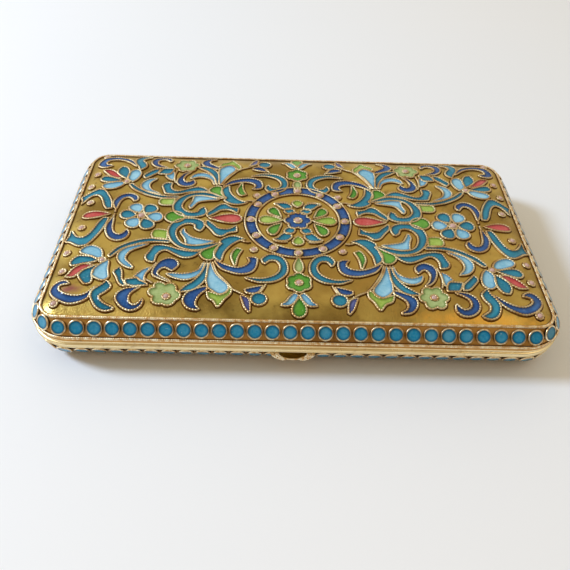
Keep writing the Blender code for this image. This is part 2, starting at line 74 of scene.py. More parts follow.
WALL = 0.8 * MM
RELIEF = 0.35 * MM
JOINT_CLEAR = 0.15 * MM
DOME_RADIUS = 10.6 * MM
EDGE_START_DEG = 5.0
BROWNED_START_DEG = 6.0
UPPER_ROPE_DEG = 62.0
BED_SWEEP_DEG = 36.0
ORNAMENT_SHIFT = 1.65 * MM


class Side(Enum):
    """The two halves of the case, by the way that their outsides face."""

    LID = 1
    BASE = -1


class Skin(Enum):
    """The finishes of a shell's sheet, by material slot."""

    MATTED = 0
    POLISHED = 1
    BROWNED = 2


@dataclass(frozen=True)
class Plan:
    """The case's rounded rectangle seen from above, over the lid's rim.

    The corners are wide at the rim and tighten towards the rope, so the panel's corners are crisp.
    """

    half_length: float = LID_HIGH.x
    half_depth: float = -LID_LOW.y
    rim_corner: float = 9.0 * MM
    rope_corner: float = 3.5 * MM
    rope_line: float = 3.06 * MM
    least_corner: float = 0.5 * MM
    halvings: int = 18

    def corner(self, inset: float) -> float:
        """The corner's radius at an inset."""
        pinch = (self.rim_corner - self.rope_corner) / self.rope_line
        return max(self.rim_corner - pinch * inset, self.rope_corner + self.rope_line - inset,
                   self.least_corner)

    def inset_of(self, x: float, y: float) -> float:
        """How far a point lies inside the rim.

        Args:
            x: Its place from left to right.
            y: Its place from front to back.

        Returns:
            The inset, which is 0 on the rim.
        """
        from_end, from_side = self.half_length - abs(x), self.half_depth - abs(y)
        least = min(from_end, from_side)
        if max(from_end, from_side) > self.rim_corner:
            return least
        low, high = 0.0, max(least, 0.0)
        for _ in range(self.halvings):
            middle = (low + high) / 2
            radius = self.corner(middle)
            past = middle + radius
            across, along = max(past - from_end, 0.0), max(past - from_side, 0.0)
            if across * across + along * along > radius * radius:
                high = middle
            else:
                low = middle
        return low

    def insets(self, x: np.ndarray, y: np.ndarray) -> np.ndarray:
        """The same for many points at once."""
        return np.array([self.inset_of(*place) for place in zip(x.tolist(), y.tolist())])

    def stations(self, arc: int, long: int, short: int) -> list[Station]:
        """Places round the outline, anticlockwise, as a leg and the share of it that is done.

        Args:
            arc: Steps round each corner.
            long: Steps along each long side.
            short: Steps along each short side.

        Returns:
            The places. An even leg is a corner, and the odd leg after it is the side that follows.
        """
        counts = (arc, long, arc, short) * 2
        return [(leg, step / count) for leg, count in enumerate(counts) for step in range(count)]

    def at(self, station: Station, inset: float) -> Point:
        """The point of the outline at a station, moved in by inset.

        Args:
            station: The place, as a leg and the share of it that is done.
            inset: How far the outline is moved in.

        Returns:
            Its x and y.
        """
        leg, share = station
        if leg % 2:
            start, end = self.at((leg - 1, 1.0), inset), self.at(((leg + 1) % 8, 0.0), inset)
            return start[0] + (end[0] - start[0]) * share, start[1] + (end[1] - start[1]) * share
        radius = self.corner(inset)
        side_x, side_y = ((1, 1), (-1, 1), (-1, -1), (1, -1))[leg // 2]
        angle = math.radians(90 * (leg // 2 + share))
        return (side_x * (self.half_length - inset - radius) + radius * math.cos(angle),
                side_y * (self.half_depth - inset - radius) + radius * math.sin(angle))

    def legs(self, inset: float) -> list[float]:
        """Length of each leg of the outline, from the back right corner round.

        Args:
            inset: How far the outline is moved in.

        Returns:
            The eight lengths.
        """
        radius = self.corner(inset)
        arc = radius * math.pi / 2
        return [arc, 2 * (self.half_length - inset - radius), arc,
                2 * (self.half_depth - inset - radius)] * 2

    def walk(self, inset: float, distance: float) -> tuple[Station, float]:
        """A place this far round the outline, anticlockwise from the middle of the front.

        Args:
            inset: How far the outline is moved in.
            distance: How far to go.

        Returns:
            Its station, and the angle of its outward direction in radians.
        """
        legs = self.legs(inset)
        front = 5
        distance = (distance + sum(legs[:front]) + legs[front] / 2) % sum(legs)
        for leg, length in enumerate(legs):
            if distance <= length or leg == len(legs) - 1:
                break
            distance -= length
        share = min(distance / length, 1.0)
        quarters = (leg + 1) // 2 if leg % 2 else leg // 2 + share
        return (leg, share), math.radians(90 * quarters)


@dataclass(frozen=True)
class Section:
    """One half's outer profile, as inset from the lid's rim and height from the joint plane."""

    rim_height: float
    setback: float
    edge_radius: float
    bed_start_deg: float
    rope_degs: tuple[float, ...]

    @property
    def rope_inset(self) -> float:
        """Inset of the upper rope."""
        return self.setback + self.edge_radius * (1 - math.cos(math.radians(UPPER_ROPE_DEG)))

    @property
    def panel_inset(self) -> float:
        """Inset at which the panel becomes flat."""
        return self.rope_inset + DOME_RADIUS * math.cos(math.radians(UPPER_ROPE_DEG))

    @property
    def panel_height(self) -> float:
        """Height of the flat panel."""
        upper = math.sin(math.radians(UPPER_ROPE_DEG))
        return self.rim_height + self.edge_radius * upper + DOME_RADIUS * (1 - upper)

    def edge_point(self, degrees: float, offset: float = 0.0) -> Point:
        """A point of the round edge whose normal rises by this angle, moved out by offset.

        Args:
            degrees: The angle.
            offset: How far out it is moved; less than 0 is inwards.

        Returns:
            Its inset and height.
        """
        angle = math.radians(degrees)
        radius = self.edge_radius + offset
        return (self.setback + self.edge_radius - radius * math.cos(angle),
                self.rim_height + radius * math.sin(angle))

    def dome_point(self, degrees: float, offset: float = 0.0) -> Point:
        """The same on the flatter arc between the upper rope and the panel.

        Args:
            degrees: The angle.
            offset: How far out it is moved; less than 0 is inwards.

        Returns:
            Its inset and height.
        """
        angle = math.radians(degrees)
        radius = DOME_RADIUS + offset
        return (self.panel_inset - radius * math.cos(angle),
                self.panel_height - DOME_RADIUS + radius * math.sin(angle))

    def height_at(self, inset: float) -> float:
        """Height of the outer surface at an inset.

        Args:
            inset: How far inside the rim the point lies.

        Returns:
            The height over the joint.
        """
        if inset >= self.panel_inset:
            return self.panel_height
        if inset >= self.rope_inset:
            run = self.panel_inset - inset
            return self.panel_height - DOME_RADIUS + math.sqrt(DOME_RADIUS**2 - run**2)
        run = min(self.setback + self.edge_radius - inset, self.edge_radius)
        return self.rim_height + math.sqrt(self.edge_radius**2 - run**2)


PLAN = Plan()


@dataclass(frozen=True)
class Half:
    """A half of the case as a surface that wires and enamel are laid on."""

    side: Side
    section: Section
    body: str

    def point(self, x: float, y: float, height: float) -> Vector:
        """A point of space from its height over the joint, away from the other half."""
        return Vector((x, y, HINGE.z + self.side.value * height))

    def on_panel(self, x: float, y: float, lift: float) -> Vector:
        """A point that stands this far over the outer surface."""
        return self.point(x, y, self.section.height_at(PLAN.inset_of(x, y)) + lift)

    def on_edge(self, distance: float, profile: Point) -> Vector:
        """A point of the profile carried this far round the plan."""
        station, _ = PLAN.walk(profile[0], distance)
        return self.point(*PLAN.at(station, profile[0]), profile[1])


LID = Half(Side.LID, Section(0.93 * MM, 0.35 * MM, 5.1 * MM, 22.0, (18.0, UPPER_ROPE_DEG)), "lid_body")
BASE = Half(Side.BASE, Section(0.25 * MM, 0.85 * MM, 4.1 * MM, 8.0, (UPPER_ROPE_DEG,)), "base_body")


class Enamel(Enum):
    """The enamels, by the colour that they fire to."""

    TEAL = "teal"
    ROYAL = "royal"
    SKY = "sky"
    CORAL = "coral"
    GREEN = "green"
    LIME = "lime"
    PALE = "pale"
    LILAC = "lilac"
    TURQUOISE = "turquoise"


TEAL, ROYAL, SKY, CORAL, GREEN, LIME, PALE, LILAC, TURQUOISE = Enamel


def distances(points: Sequence[Point]) -> list[float]:
    """How far along a path each of its points lies."""
    return [0.0, *accumulate(math.dist(before, after) for before, after in zip(points, points[1:]))]


def smooth_run(points: list[Point], spacing: float) -> list[Point]:
    """A smooth curve through points, sampled evenly and without its last point.

    Args:
        points: Two or more points, in order.
        spacing: The distance between samples.

    Returns:
        The samples, from the first point up to just before the last.
    """
    if len(points) == 2:
        (ax, ay), (bx, by) = points
        count = max(1, round(math.dist(*points) / spacing))
        return [(ax + (bx - ax) * i / count, ay + (by - ay) * i / count) for i in range(count)]
    ends = [points[0], *points, points[-1]]
    samples = []
    for a, b, c, d in zip(ends, ends[1:], ends[2:], ends[3:]):
        count = max(2, round(math.dist(b, c) / spacing))
        for step in range(count):
            t = step / count
            samples.append(tuple(
                0.5 * (2 * b[k] + (c[k] - a[k]) * t + (2 * a[k] - 5 * b[k] + 4 * c[k] - d[k]) * t**2
                       + (3 * b[k] - a[k] - 3 * c[k] + d[k]) * t**3)
                for k in (0, 1)))
    return samples


@dataclass(frozen=True)
class Outline:
    """A cell bounded by smooth runs that meet at cusps; each run starts where the last one ended."""

    runs: tuple[tuple[Point, ...], ...]

    def path(self, spacing: float) -> list[Point]:
        """The closed outline as evenly spaced points.

        Args:
            spacing: The distance between points.

        Returns:
            The points, without the first one again.
        """
        points: list[Point] = []
        start = self.runs[-1][-1]
        for run in self.runs:
            points += smooth_run([start, *run], spacing)
            start = run[-1]
        return points


@dataclass(frozen=True)
class Stroke:
    """A scroll or leaf that follows a smooth spine, with its half-width given at each point."""

    spine: tuple[Point, ...]
    half_widths: tuple[float, ...]

    def path(self, spacing: float) -> list[Point]:
        """The closed outline: up one side of the spine and back down the other.

        Args:
            spacing: The distance between points.

        Returns:
            The points, without the first one again.
        """
        line = smooth_run(list(self.spine), spacing) + [self.spine[-1]]
        lengths, marks = distances(line), distances(self.spine)
        left, right = [], []
        for index in range(1, len(line) - 1):
            place = lengths[index] / lengths[-1] * marks[-1]
            span = max(i for i in range(len(marks) - 1) if marks[i] <= place)
            share = (place - marks[span]) / (marks[span + 1] - marks[span])
            share = share * share * (3 - 2 * share)
            width = self.half_widths[span] * (1 - share) + self.half_widths[span + 1] * share
            dx = line[index + 1][0] - line[index - 1][0]
            dy = line[index + 1][1] - line[index - 1][1]
            size = math.hypot(dx, dy)
            left.append((line[index][0] - dy / size * width, line[index][1] + dx / size * width))
            right.append((line[index][0] + dy / size * width, line[index][1] - dx / size * width))
        return [line[0], *left, line[-1], *right[::-1]]


@dataclass(frozen=True)
class Round:
    """An ellipse, turned by an angle."""

    centre: Point
    radius_x: float
    radius_y: float
    turn_deg: float = 0.0

    def path(self, spacing: float) -> list[Point]:
        """The closed outline as evenly spaced points.

        Args:
            spacing: The distance between points.

        Returns:
            The points, without the first one again.
        """
        count = max(12, round(math.pi * (self.radius_x + self.radius_y) / spacing))
        turn = math.radians(self.turn_deg)
        points = []
        for step in range(count):
            angle = 2 * math.pi * step / count
            x, y = self.radius_x * math.cos(angle), self.radius_y * math.sin(angle)
            points.append((self.centre[0] + x * math.cos(turn) - y * math.sin(turn),
                           self.centre[1] + x * math.sin(turn) + y * math.cos(turn)))
        return points


@dataclass(frozen=True)
class Rosette:
    """A flower of equal lobes, whose edge swings between an outer and an inner radius."""

    centre: Point
    lobes: int
    outer: float
    inner: float
    phase_deg: float = 0.0

    def path(self, spacing: float) -> list[Point]:
        """The closed outline as evenly spaced points.

        Args:
            spacing: The distance between points.

        Returns:
            The points, without the first one again.
        """
        count = max(6 * self.lobes, round(2 * math.pi * self.outer / spacing))
        points = []
        for step in range(count):
            angle = 2 * math.pi * step / count
            reach = self.inner + (self.outer - self.inner) * abs(math.cos(self.lobes * angle / 2))
            way = angle + math.radians(self.phase_deg)
            points.append((self.centre[0] + reach * math.cos(way), self.centre[1] + reach * math.sin(way)))
        return points


@dataclass(frozen=True)
class Petal:
    """A drop: pointed at its tip and round at its far end."""

    tip: Point
    end: Point
    half_width: float
    fullness: float = 0.65
    swell_gain: float = 1.25
    point_density: float = 2.2

    def path(self, spacing: float) -> list[Point]:
        """The closed outline, from the tip round the end and back.

        Args:
            spacing: The distance between points.

        Returns:
            The points, without the first one again.
        """
        run = (self.end[0] - self.tip[0], self.end[1] - self.tip[1])
        length = math.hypot(*run)
        count = max(16, round(self.point_density * length / spacing))
        points = []
        for step in range(count):
            angle = 2 * math.pi * step / count
            along = (1 - math.cos(angle)) / 2
            swell = math.sin(angle) * math.sin(angle / 2) ** (2 * self.fullness) * self.half_width
            swell *= self.swell_gain
            points.append((self.tip[0] + run[0] * along - run[1] / length * swell,
                           self.tip[1] + run[1] * along + run[0] / length * swell))
        return points


@dataclass(frozen=True)
class Sector:
    """A stretch of a ring about the medallion's centre."""

    inner: float
    outer: float
    start_deg: float
    end_deg: float

    def path(self, spacing: float) -> list[Point]:
        """The closed outline as evenly spaced points.

        Args:
            spacing: The distance between points.

        Returns:
            The points, without the first one again.
        """
        sweep = math.radians(self.end_deg - self.start_deg)
        points = []
        for radius, first, way in ((self.outer, self.start_deg, 1), (self.inner, self.end_deg, -1)):
            count = max(4, round(radius * sweep / spacing))
            for step in range(count + 1):
                angle = math.radians(first) + way * sweep * step / count
                points.append((radius * math.cos(angle), radius * math.sin(angle)))
        return points


Shape = Outline | Stroke | Round | Rosette | Petal | Sector
Cell = tuple[Enamel, Shape]


def leaf(enamel: Enamel, *runs: tuple[Point, ...]) -> Cell:
    """A cell bounded by smooth runs."""
    return enamel, Outline(runs)


# One quarter of the lid, right of the short axis and in front of the long one.
QUARTER_CELLS: tuple[Cell, ...] = (
    # Leaves inside the blue ring, between its two axes.
    leaf(GREEN, ((3.9, -2.2), (4.4, -3.8), (5.2, -4.6), (6.1, -4.0), (6.2, -2.9), (5.2, -1.9),
          (3.6, -1.2))),
    (TEAL, Round((1.75, -3.35), 1.05, 0.8, -30)),
    leaf(TEAL, ((2.6, -4.2), (3.5, -4.8), (4.2, -5.7), (5.0, -6.1)),
         ((3.6, -6.4), (2.3, -6.2), (1.5, -5.3), (1.6, -4.4))),
    # The arch that springs from the medallion and the great curl that it throws outwards.
    leaf(TEAL, ((12.4, -6.8), (13.9, -8.2), (15.1, -10.4), (15.45, -12.8)),
         ((16.5, -11.8), (16.8, -10.2), (16.3, -9.0), (15.5, -7.9)),
         ((15.9, -7.0), (14.6, -5.9), (13.0, -5.6), (11.2, -6.3))),
    leaf(TEAL, ((18.4, -8.2), (20.6, -8.7), (22.8, -8.6), (24.3, -7.5), (25.1, -5.6), (25.1, -3.8),
          (24.1, -2.3), (22.7, -1.8), (21.5, -2.2), (21.1, -3.3), (20.3, -4.0)),
         ((19.8, -2.8), (19.9, -1.6), (20.8, -0.8), (22.4, -0.4), (24.6, -0.7), (26.1, -1.8), (26.8, -3.7),
          (26.6, -5.6), (25.5, -7.7), (23.6, -9.2), (21.0, -9.8), (18.5, -9.2), (16.3, -7.8))),
    leaf(SKY, ((19.8, -6.8), (21.6, -6.2), (22.4, -5.1), (23.1, -3.6)),
         ((23.4, -4.6), (22.9, -6.3), (22.7, -8.2)), ((21.0, -8.4), (19.2, -8.0), (17.4, -7.2))),
    leaf(TEAL, ((13.9, -3.1), (15.0, -3.5), (16.7, -3.2), (17.9, -2.0), (19.2, -0.8)),
         ((19.2, -2.0), (18.0, -3.6), (17.0, -5.0), (15.8, -5.4), (14.6, -4.4), (12.9, -3.9)),
         ((13.1, -2.3),)),
    # The C scroll, the leaves between it and the arch, and the bell flower below.
    (TEAL, Stroke(((10.2, -17.3), (7.5, -17.9), (4.8, -17.3), (3.2, -15.7), (2.95, -13.6), (3.9, -11.9),
             (5.5, -11.5), (6.5, -12.3), (6.6, -13.5)),
            (0.05, 0.35, 0.6, 0.65, 0.6, 0.65, 0.75, 0.55, 0.1))),
    leaf(ROYAL, ((9.4, -12.7), (9.4, -13.6), (10.3, -14.4), (12.1, -14.7), (14.2, -14.1), (16.5, -12.8)),
         ((15.2, -14.7), (13.3, -15.7), (11.3, -16.2), (9.4, -15.9), (8.3, -14.9), (8.0, -13.5),
          (8.1, -12.4)), ((8.8, -12.0), (9.9, -12.0))),
    leaf(GREEN, ((12.4, -9.2), (13.1, -10.2), (13.3, -11.6), (12.9, -12.9), (12.5, -14.0)),
         ((12.4, -12.4), (12.1, -11.0), (11.5, -9.6))),
    leaf(ROYAL, ((8.6, -19.8), (10.1, -20.3)), ((10.0, -20.9), (8.9, -21.2), (7.8, -20.8), (7.1, -19.4))),
    (TEAL, Round((7.6, -22.55), 1.35, 1.25, 0)),
    leaf(LILAC, ((10.5, -23.2), (10.1, -24.3), (9.3, -25.3)),
         ((9.3, -24.1), (9.5, -22.9), (10.1, -22.3), (10.9, -22.1))),
    # The green knot under the arch and the four petals that hang from it.
    leaf(GREEN, ((17.9, -9.2), (19.4, -10.3), (19.4, -11.4), (18.4, -12.4), (17.2, -12.3), (17.0, -10.8),
          (16.3, -8.2))),
    leaf(SKY, ((16.9, -15.0), (15.9, -17.2), (14.6, -19.2), (14.3, -20.1)),
         ((14.8, -21.0), (15.7, -21.5), (16.7, -21.1), (17.8, -20.0)),
         ((17.9, -18.0), (17.7, -15.9), (17.4, -13.4))),
    leaf(LIME, ((13.3, -21.5), (14.2, -22.7), (14.7, -23.7), (15.2, -24.4)),
         ((16.2, -23.1), (17.4, -22.5), (17.9, -21.2)),
         ((16.8, -21.6), (15.7, -22.0), (14.5, -21.5), (13.9, -20.5), (13.3, -20.0))),
    leaf(TEAL, ((18.0, -15.6), (18.2, -17.6), (19.3, -19.5), (20.8, -20.6), (22.9, -20.7)),
         ((21.8, -19.8), (20.3, -18.6), (19.2, -17.0), (18.5, -15.3), (18.1, -13.4))),
    leaf(SKY, ((19.3, -15.2), (20.6, -16.2), (22.3, -16.5), (24.2, -15.7)),
         ((23.7, -17.1), (22.4, -17.9), (21.0, -17.8), (19.8, -17.0), (19.0, -15.6), (18.7, -13.4))),
    leaf(ROYAL, ((19.8, -20.5), (21.3, -21.2), (22.1, -22.3), (21.9, -23.6), (20.9, -24.7), (19.1, -25.0)),
         ((20.2, -24.3), (20.6, -23.3), (20.2, -22.2), (19.2, -21.3), (18.2, -20.6)), ((18.2, -19.9),)),
    (PALE, Rosette((25.6, -21.3), 6, 2.7, 2.0, 4)),
    # Between the lily and the corner: curls, small leaves and the lower scroll.
    leaf(TEAL, ((21.9, -10.4), (24.0, -10.0), (26.0, -9.3), (27.8, -9.0), (29.2, -9.3)),
         ((29.7, -10.9), (30.1, -12.2), (29.6, -13.2), (28.3, -13.4)),
         ((28.4, -11.8), (27.7, -10.5), (26.4, -10.1), (24.6, -11.0), (22.7, -11.9), (21.2, -11.7),
          (19.8, -10.4))),
    leaf(ROYAL, ((23.2, -13.8), (23.9, -12.7), (25.3, -12.3), (26.7, -13.1), (27.1, -14.6), (26.5, -16.5),
          (25.6, -17.7), (24.5, -18.4)),
         ((25.5, -17.2), (26.0, -15.5), (25.6, -14.3), (24.9, -13.9), (24.2, -14.2), (23.6, -14.9))),
    leaf(SKY, ((29.2, -15.4), (29.9, -16.6)), ((29.0, -17.2), (28.5, -18.3)),
         ((28.2, -16.8), (28.2, -14.8))),
    leaf(TEAL, ((29.5, -17.3), (31.7, -17.4)), ((31.2, -18.7), (30.7, -19.4)), ((28.6, -19.5),),
         ((28.8, -18.2),)),
    leaf(TEAL, ((32.1, -17.9), (33.2, -16.7), (34.4, -15.4)),
         ((34.9, -16.4), (33.9, -17.8), (32.7, -19.0), (31.8, -19.1))),
    leaf(ROYAL, ((32.1, -20.2), (33.5, -21.3), (33.9, -22.9), (33.3, -24.3), (31.9, -25.1), (30.4, -25.0),
          (29.5, -24.1), (29.6, -22.9)),
         ((30.2, -23.7), (31.0, -24.1), (32.0, -23.8), (32.6, -22.9), (32.4, -21.6), (31.3, -20.6),
          (30.1, -20.0))),
    (TEAL, Stroke(((26.2, -7.7), (28.2, -7.5), (30.2, -7.75), (32.3, -8.4), (34.4, -9.6), (36.0, -10.9),
             (37.4, -12.6)), (0.2, 0.36, 0.38, 0.38, 0.4, 0.42, 0.3))),
    leaf(SKY, ((33.0, -9.8), (34.2, -10.6), (34.9, -12.0), (34.6, -13.5), (33.5, -14.7), (31.9, -15.1)),
         ((32.9, -13.9), (33.3, -12.6), (33.0, -11.2), (32.2, -10.1), (30.5, -8.9))),
    leaf(LIME, ((29.1, -4.5), (29.9, -5.0), (30.0, -6.2), (29.4, -7.0)), ((27.0, -7.1),), ((27.2, -4.6),)),
    # The hook and the long spray that part at the end of the long axis.
    leaf(ROYAL, ((39.8, -4.2), (39.6, -6.0), (38.6, -7.7), (36.9, -8.4), (35.4, -7.6), (35.0, -6.3),
          (35.5, -5.4)),
         ((36.1, -6.5), (37.0, -7.0), (38.1, -6.4), (38.7, -5.0), (38.9, -3.4), (39.0, -1.8))),
    leaf(TEAL, ((40.4, -4.3), (41.0, -6.3), (42.0, -8.5), (42.9, -9.8)),
         ((44.0, -9.9), (45.2, -9.2), (46.3, -8.3), (47.4, -7.8)), ((46.9, -6.4),), ((46.9, -5.0),),
         ((46.0, -6.5), (45.0, -7.5), (43.8, -7.7), (42.8, -6.7), (42.1, -4.9), (41.6, -3.2), (40.9, -1.9)),
         ((40.1, -2.1),)),
    # The open flower in the corner, its stalk leaf and the corner scroll.
    leaf(SKY, ((39.5, -11.7), (40.8, -10.7), (42.4, -10.4), (43.4, -11.3), (42.9, -12.3), (41.4, -12.9),
          (40.0, -13.3), (38.9, -13.1))),
    leaf(TEAL, ((41.5, -13.4), (43.3, -13.4), (44.3, -14.4), (43.6, -15.4), (41.9, -15.1), (39.6, -13.9))),
    leaf(CORAL, ((41.3, -15.3), (42.8, -16.3), (44.3, -18.2)),
         ((42.8, -18.3), (41.3, -17.1), (39.8, -15.1))),
    leaf(TEAL, ((39.8, -15.9), (40.8, -17.0), (41.0, -18.5), (40.4, -19.8)),
         ((39.4, -19.6), (38.7, -18.3), (38.5, -16.7), (38.8, -15.0))),
    leaf(SKY, ((36.4, -14.8), (35.9, -16.4), (36.0, -17.8), (36.9, -18.6), (37.9, -18.1), (38.3, -16.7),
          (38.3, -15.2), (37.8, -14.2), (37.1, -13.8))),
    leaf(TEAL, ((35.1, -20.2), (35.3, -21.6), (36.1, -22.9), (35.8, -24.2), (34.3, -25.2)),
         ((35.6, -25.6), (37.0, -25.0), (37.7, -23.4), (37.4, -21.6), (36.6, -20.2), (36.2, -19.0))),
    leaf(ROYAL, ((38.5, -22.7), (40.3, -24.0), (42.4, -24.6), (44.6, -23.8), (45.9, -22.2), (46.0, -20.8),
          (45.0, -19.8), (43.8, -19.7), (42.9, -20.4)),
         ((44.0, -20.7), (44.5, -21.3), (44.1, -22.4), (42.7, -23.2), (40.8, -23.1), (39.0, -22.1),
          (37.3, -20.5))),
)

# Pink enamel beads that stand by themselves, and the flowers with a bead on each axis.
QUARTER_BEADS = ((9.0, -9.3), (38.5, -13.6), (44.9, -4.6), (46.1, -11.5), (45.6, -16.6), (44.9, -24.8),
                 (25.6, -21.3))
SHORT_AXIS_FLOWER = (0.0, -18.2)
LONG_AXIS_FLOWER = (33.2, -0.5)
QUARTER_BEAD, SHORT_AXIS_BEAD, LONG_AXIS_BEAD = 0.58 * MM, 0.6 * MM, 0.75 * MM
MIDDLE_BEAD, RING_BEAD = 0.7 * MM, 0.66 * MM

# Wires that bound no cell: stems, starts and tips.
QUARTER_WIRES = (
    ((9.7, -7.0), (10.6, -7.1), (11.6, -6.75)),
    ((6.4, -18.9), (6.8, -19.9), (7.3, -20.9)),
    ((16.9, -13.2), (16.1, -15.6), (14.8, -17.9), (13.3, -20.0), (11.7, -20.9), (10.2, -21.8)),
    ((27.5, -13.5), (27.9, -15.2), (28.0, -17.0), (27.6, -18.9)),
    ((38.9, -0.4), (39.0, -1.1), (39.0, -1.8)),
    ((2.2, -6.8), (3.5, -6.9), (5.0, -6.5)),
)


def long_axis_cells() -> list[Cell]:
    """What stands on the long axis, right of the medallion.

    Returns:
        The cells.
    """
    cells: list[Cell] = [
        (LIME, Petal((3.4, 0.0), (8.1, 0.0), 1.25)),
        (CORAL, Petal((18.7, 0.1), (12.1, 0.1), 1.45)),
        (GREEN, Petal((24.2, 0.0), (28.1, 0.0), 1.4, 0.1)),
        (CORAL, Petal((40.1, -0.5), (45.4, -0.8), 1.05, 0.5)),
    ]
    x, y = LONG_AXIS_FLOWER
    for step in range(6):
        way = math.radians(60 * step)
        tip, end = ((x + reach * math.cos(way), y + reach * math.sin(way)) for reach in (1.3, 4.4))
        cells.append((SKY if step % 2 else TEAL, Petal(tip, end, 1.3, 0.3)))
    return cells


def short_axis_cells() -> list[Cell]:
    """What stands on the short axis, in front of the medallion.

    Returns:
        The cells.
    """
    return [
        (LIME, Petal((0.0, -5.2), (0.0, -7.5), 1.0, 0.4)),
        (PALE, Petal((0.0, -11.6), (0.0, -15.4), 0.75, 0.4)),
        (GREEN, Rosette(SHORT_AXIS_FLOWER, 6, 2.4, 1.95, 30)),
        *(leaf(SKY, ((side * 0.9, -21.2), (side * 1.8, -22.2), (side * 2.4, -23.2), (side * 3.3, -23.8)),
               ((side * 1.9, -23.8), (side * 0.9, -22.9), (side * 0.3, -21.6))) for side in (1, -1)),
        (GREEN, Petal((0.0, -22.4), (0.0, -26.0), 1.25, 0.5)),
    ]


@dataclass(frozen=True)
class Stray:
    """A place of the lid where the hand-laid work strays from its mirror image, and how far."""

    place: Point
    move: Point
    reach: float

    def pull(self, x: float, y: float) -> float:
        """How strongly a point is drawn along, from 0 to 1."""
        return math.exp(-((x - self.place[0])**2 + (y - self.place[1])**2) / self.reach**2)


STRAYS = tuple(Stray(*sizes) for sizes in (
    ((-38.5, -3.5), (0.0, 1.3), 9.0), ((-24.9, -21.6), (0.8, -1.3), 2.4), ((-20.0, -23.0), (1.2, -0.2), 2.2),
    ((-15.8, -20.0), (1.3, 0.0), 2.2), ((-33.5, -12.3), (-1.4, 0.0), 2.2),
    ((-25.2, -15.0), (-1.6, -1.2), 2.4), ((-28.7, -16.8), (-1.7, -0.8), 1.9),
    ((-32.0, -17.8), (-1.5, -1.3), 2.2), ((-31.8, -22.8), (0.9, -0.7), 2.4),
    ((-36.4, -22.0), (-1.7, 0.0), 2.2), ((-44.0, -21.8), (-0.9, 0.8), 3.0),
    ((-37.0, -16.2), (-1.6, -0.4), 1.9), ((-39.8, -17.4), (-1.6, 0.0), 1.7),
    ((-42.3, -16.8), (-0.8, 0.0), 1.5), ((-42.6, -14.4), (-0.8, 0.8), 1.6),
    ((-41.2, -11.8), (0.5, 0.7), 1.9), ((-22.9, -4.6), (-0.9, 0.0), 1.8), ((-8.6, -13.8), (-0.4, 0.7), 2.2),
))


def strayed(x: float, y: float) -> Point:
    """A point of the lid's drawing, moved along with the strays near it.

    Args:
        x: Its place from left to right.
        y: Its place from front to back.

    Returns:
        The place that it moves to.
    """
    pulls = [(stray.pull(x, y), stray.move) for stray in STRAYS]
    total = max(1.0, sum(pull for pull, _ in pulls))
    return (x + sum(pull * move[0] for pull, move in pulls) / total,
            y + sum(pull * move[1] for pull, move in pulls) / total)


def underside_quarter() -> list[Cell]:
    """The plainer ornament of the base: a spray beside the medallion and a scroll in the corner.

    Returns:
        The cells.
    """
    return [
        (TEAL, Stroke(((14.0, -4.0), (20.0, -8.6), (26.0, -8.0), (28.0, -3.6)), (0.2, 0.9, 0.9, 0.2))),
        (ROYAL, Stroke(((38.0, -22.4), (42.0, -23.2), (44.6, -21.4), (44.2, -18.6), (41.6, -18.0)),
                       (0.2, 0.8, 0.9, 0.7, 0.2))),
        (GREEN, Petal((3.9, -2.25), (6.6, -3.8), 0.8)),
    ]


def srgb(red: int, green: int, blue: int) -> Colour:
    """A colour as the shader wants it, from its usual 0 to 255 values.

    Args:
        red: Red.
        green: Green.
        blue: Blue.

    Returns:
        The three channels, made linear.
    """
    def linear(value: int) -> float:
        """One channel made linear."""
        share = value / 255
        return share / 12.92 if share <= 0.04045 else ((share + 0.055) / 1.055)**2.4
    return linear(red), linear(green), linear(blue)


def node(tree: NodeTree, kind: str, inputs: dict | None = None, **settings: object) -> Node:
    """Adds a node to a tree.

    Args:
        tree: The material's or group's tree.
        kind: The node's type.
        inputs: Input names or numbers, each with a value or with the socket that feeds it.
        settings: The node's own settings.

    Returns:
        The new node.
    """
    made = tree.nodes.new(kind)
    for name, value in settings.items():
        setattr(made, name, value)
    for name, value in (inputs or {}).items():
        if isinstance(value, NodeSocket):
            tree.links.new(value, made.inputs[name])
        else:
            made.inputs[name].default_value = value
    return made


def mixed(tree: NodeTree, share: NodeSocket, first: Colour | NodeSocket,
          second: Colour | NodeSocket) -> NodeSocket:
    """The colour between two colours, each of which may be a value or a socket.

    Args:
        tree: The material's or group's tree.
        share: The second colour's share.
        first: The first colour.
        second: The second colour.

    Returns:
        The socket that gives the mixture.
    """
    made = node(tree, "ShaderNodeMix", {0: share}, data_type="RGBA")
    for slot, value in ((6, first), (7, second)):
        if isinstance(value, NodeSocket):
            tree.links.new(value, made.inputs[slot])
        else:
            made.inputs[slot].default_value = (*value, 1.0)
    return made.outputs[2]


def scaled(tree: NodeTree, value: NodeSocket, low: float, high: float,
           to_low: float, to_high: float) -> NodeSocket:
    """A value carried from one range to another and held within it."""
    made = node(tree, "ShaderNodeMapRange", {"Value": value, "From Min": low, "From Max": high,
                                             "To Min": to_low, "To Max": to_high})
    return made.outputs["Result"]


def begun_group(name: str, kind: str, inputs: tuple[str, ...], result: str) -> NodeTree:
    """A node group with its sockets and nothing between them.

    Args:
        name: Its name.
        kind: The kind of its inputs, Float or Vector.
        inputs: Their names.
        result: The name of the number that it gives.

    Returns:
        The group.
    """
    tree = bpy.data.node_groups.new(name, "ShaderNodeTree")
    for label in inputs:
        tree.interface.new_socket(label, in_out="INPUT", socket_type=f"NodeSocket{kind}")
    tree.interface.new_socket(result, in_out="OUTPUT", socket_type="NodeSocketFloat")
    return tree


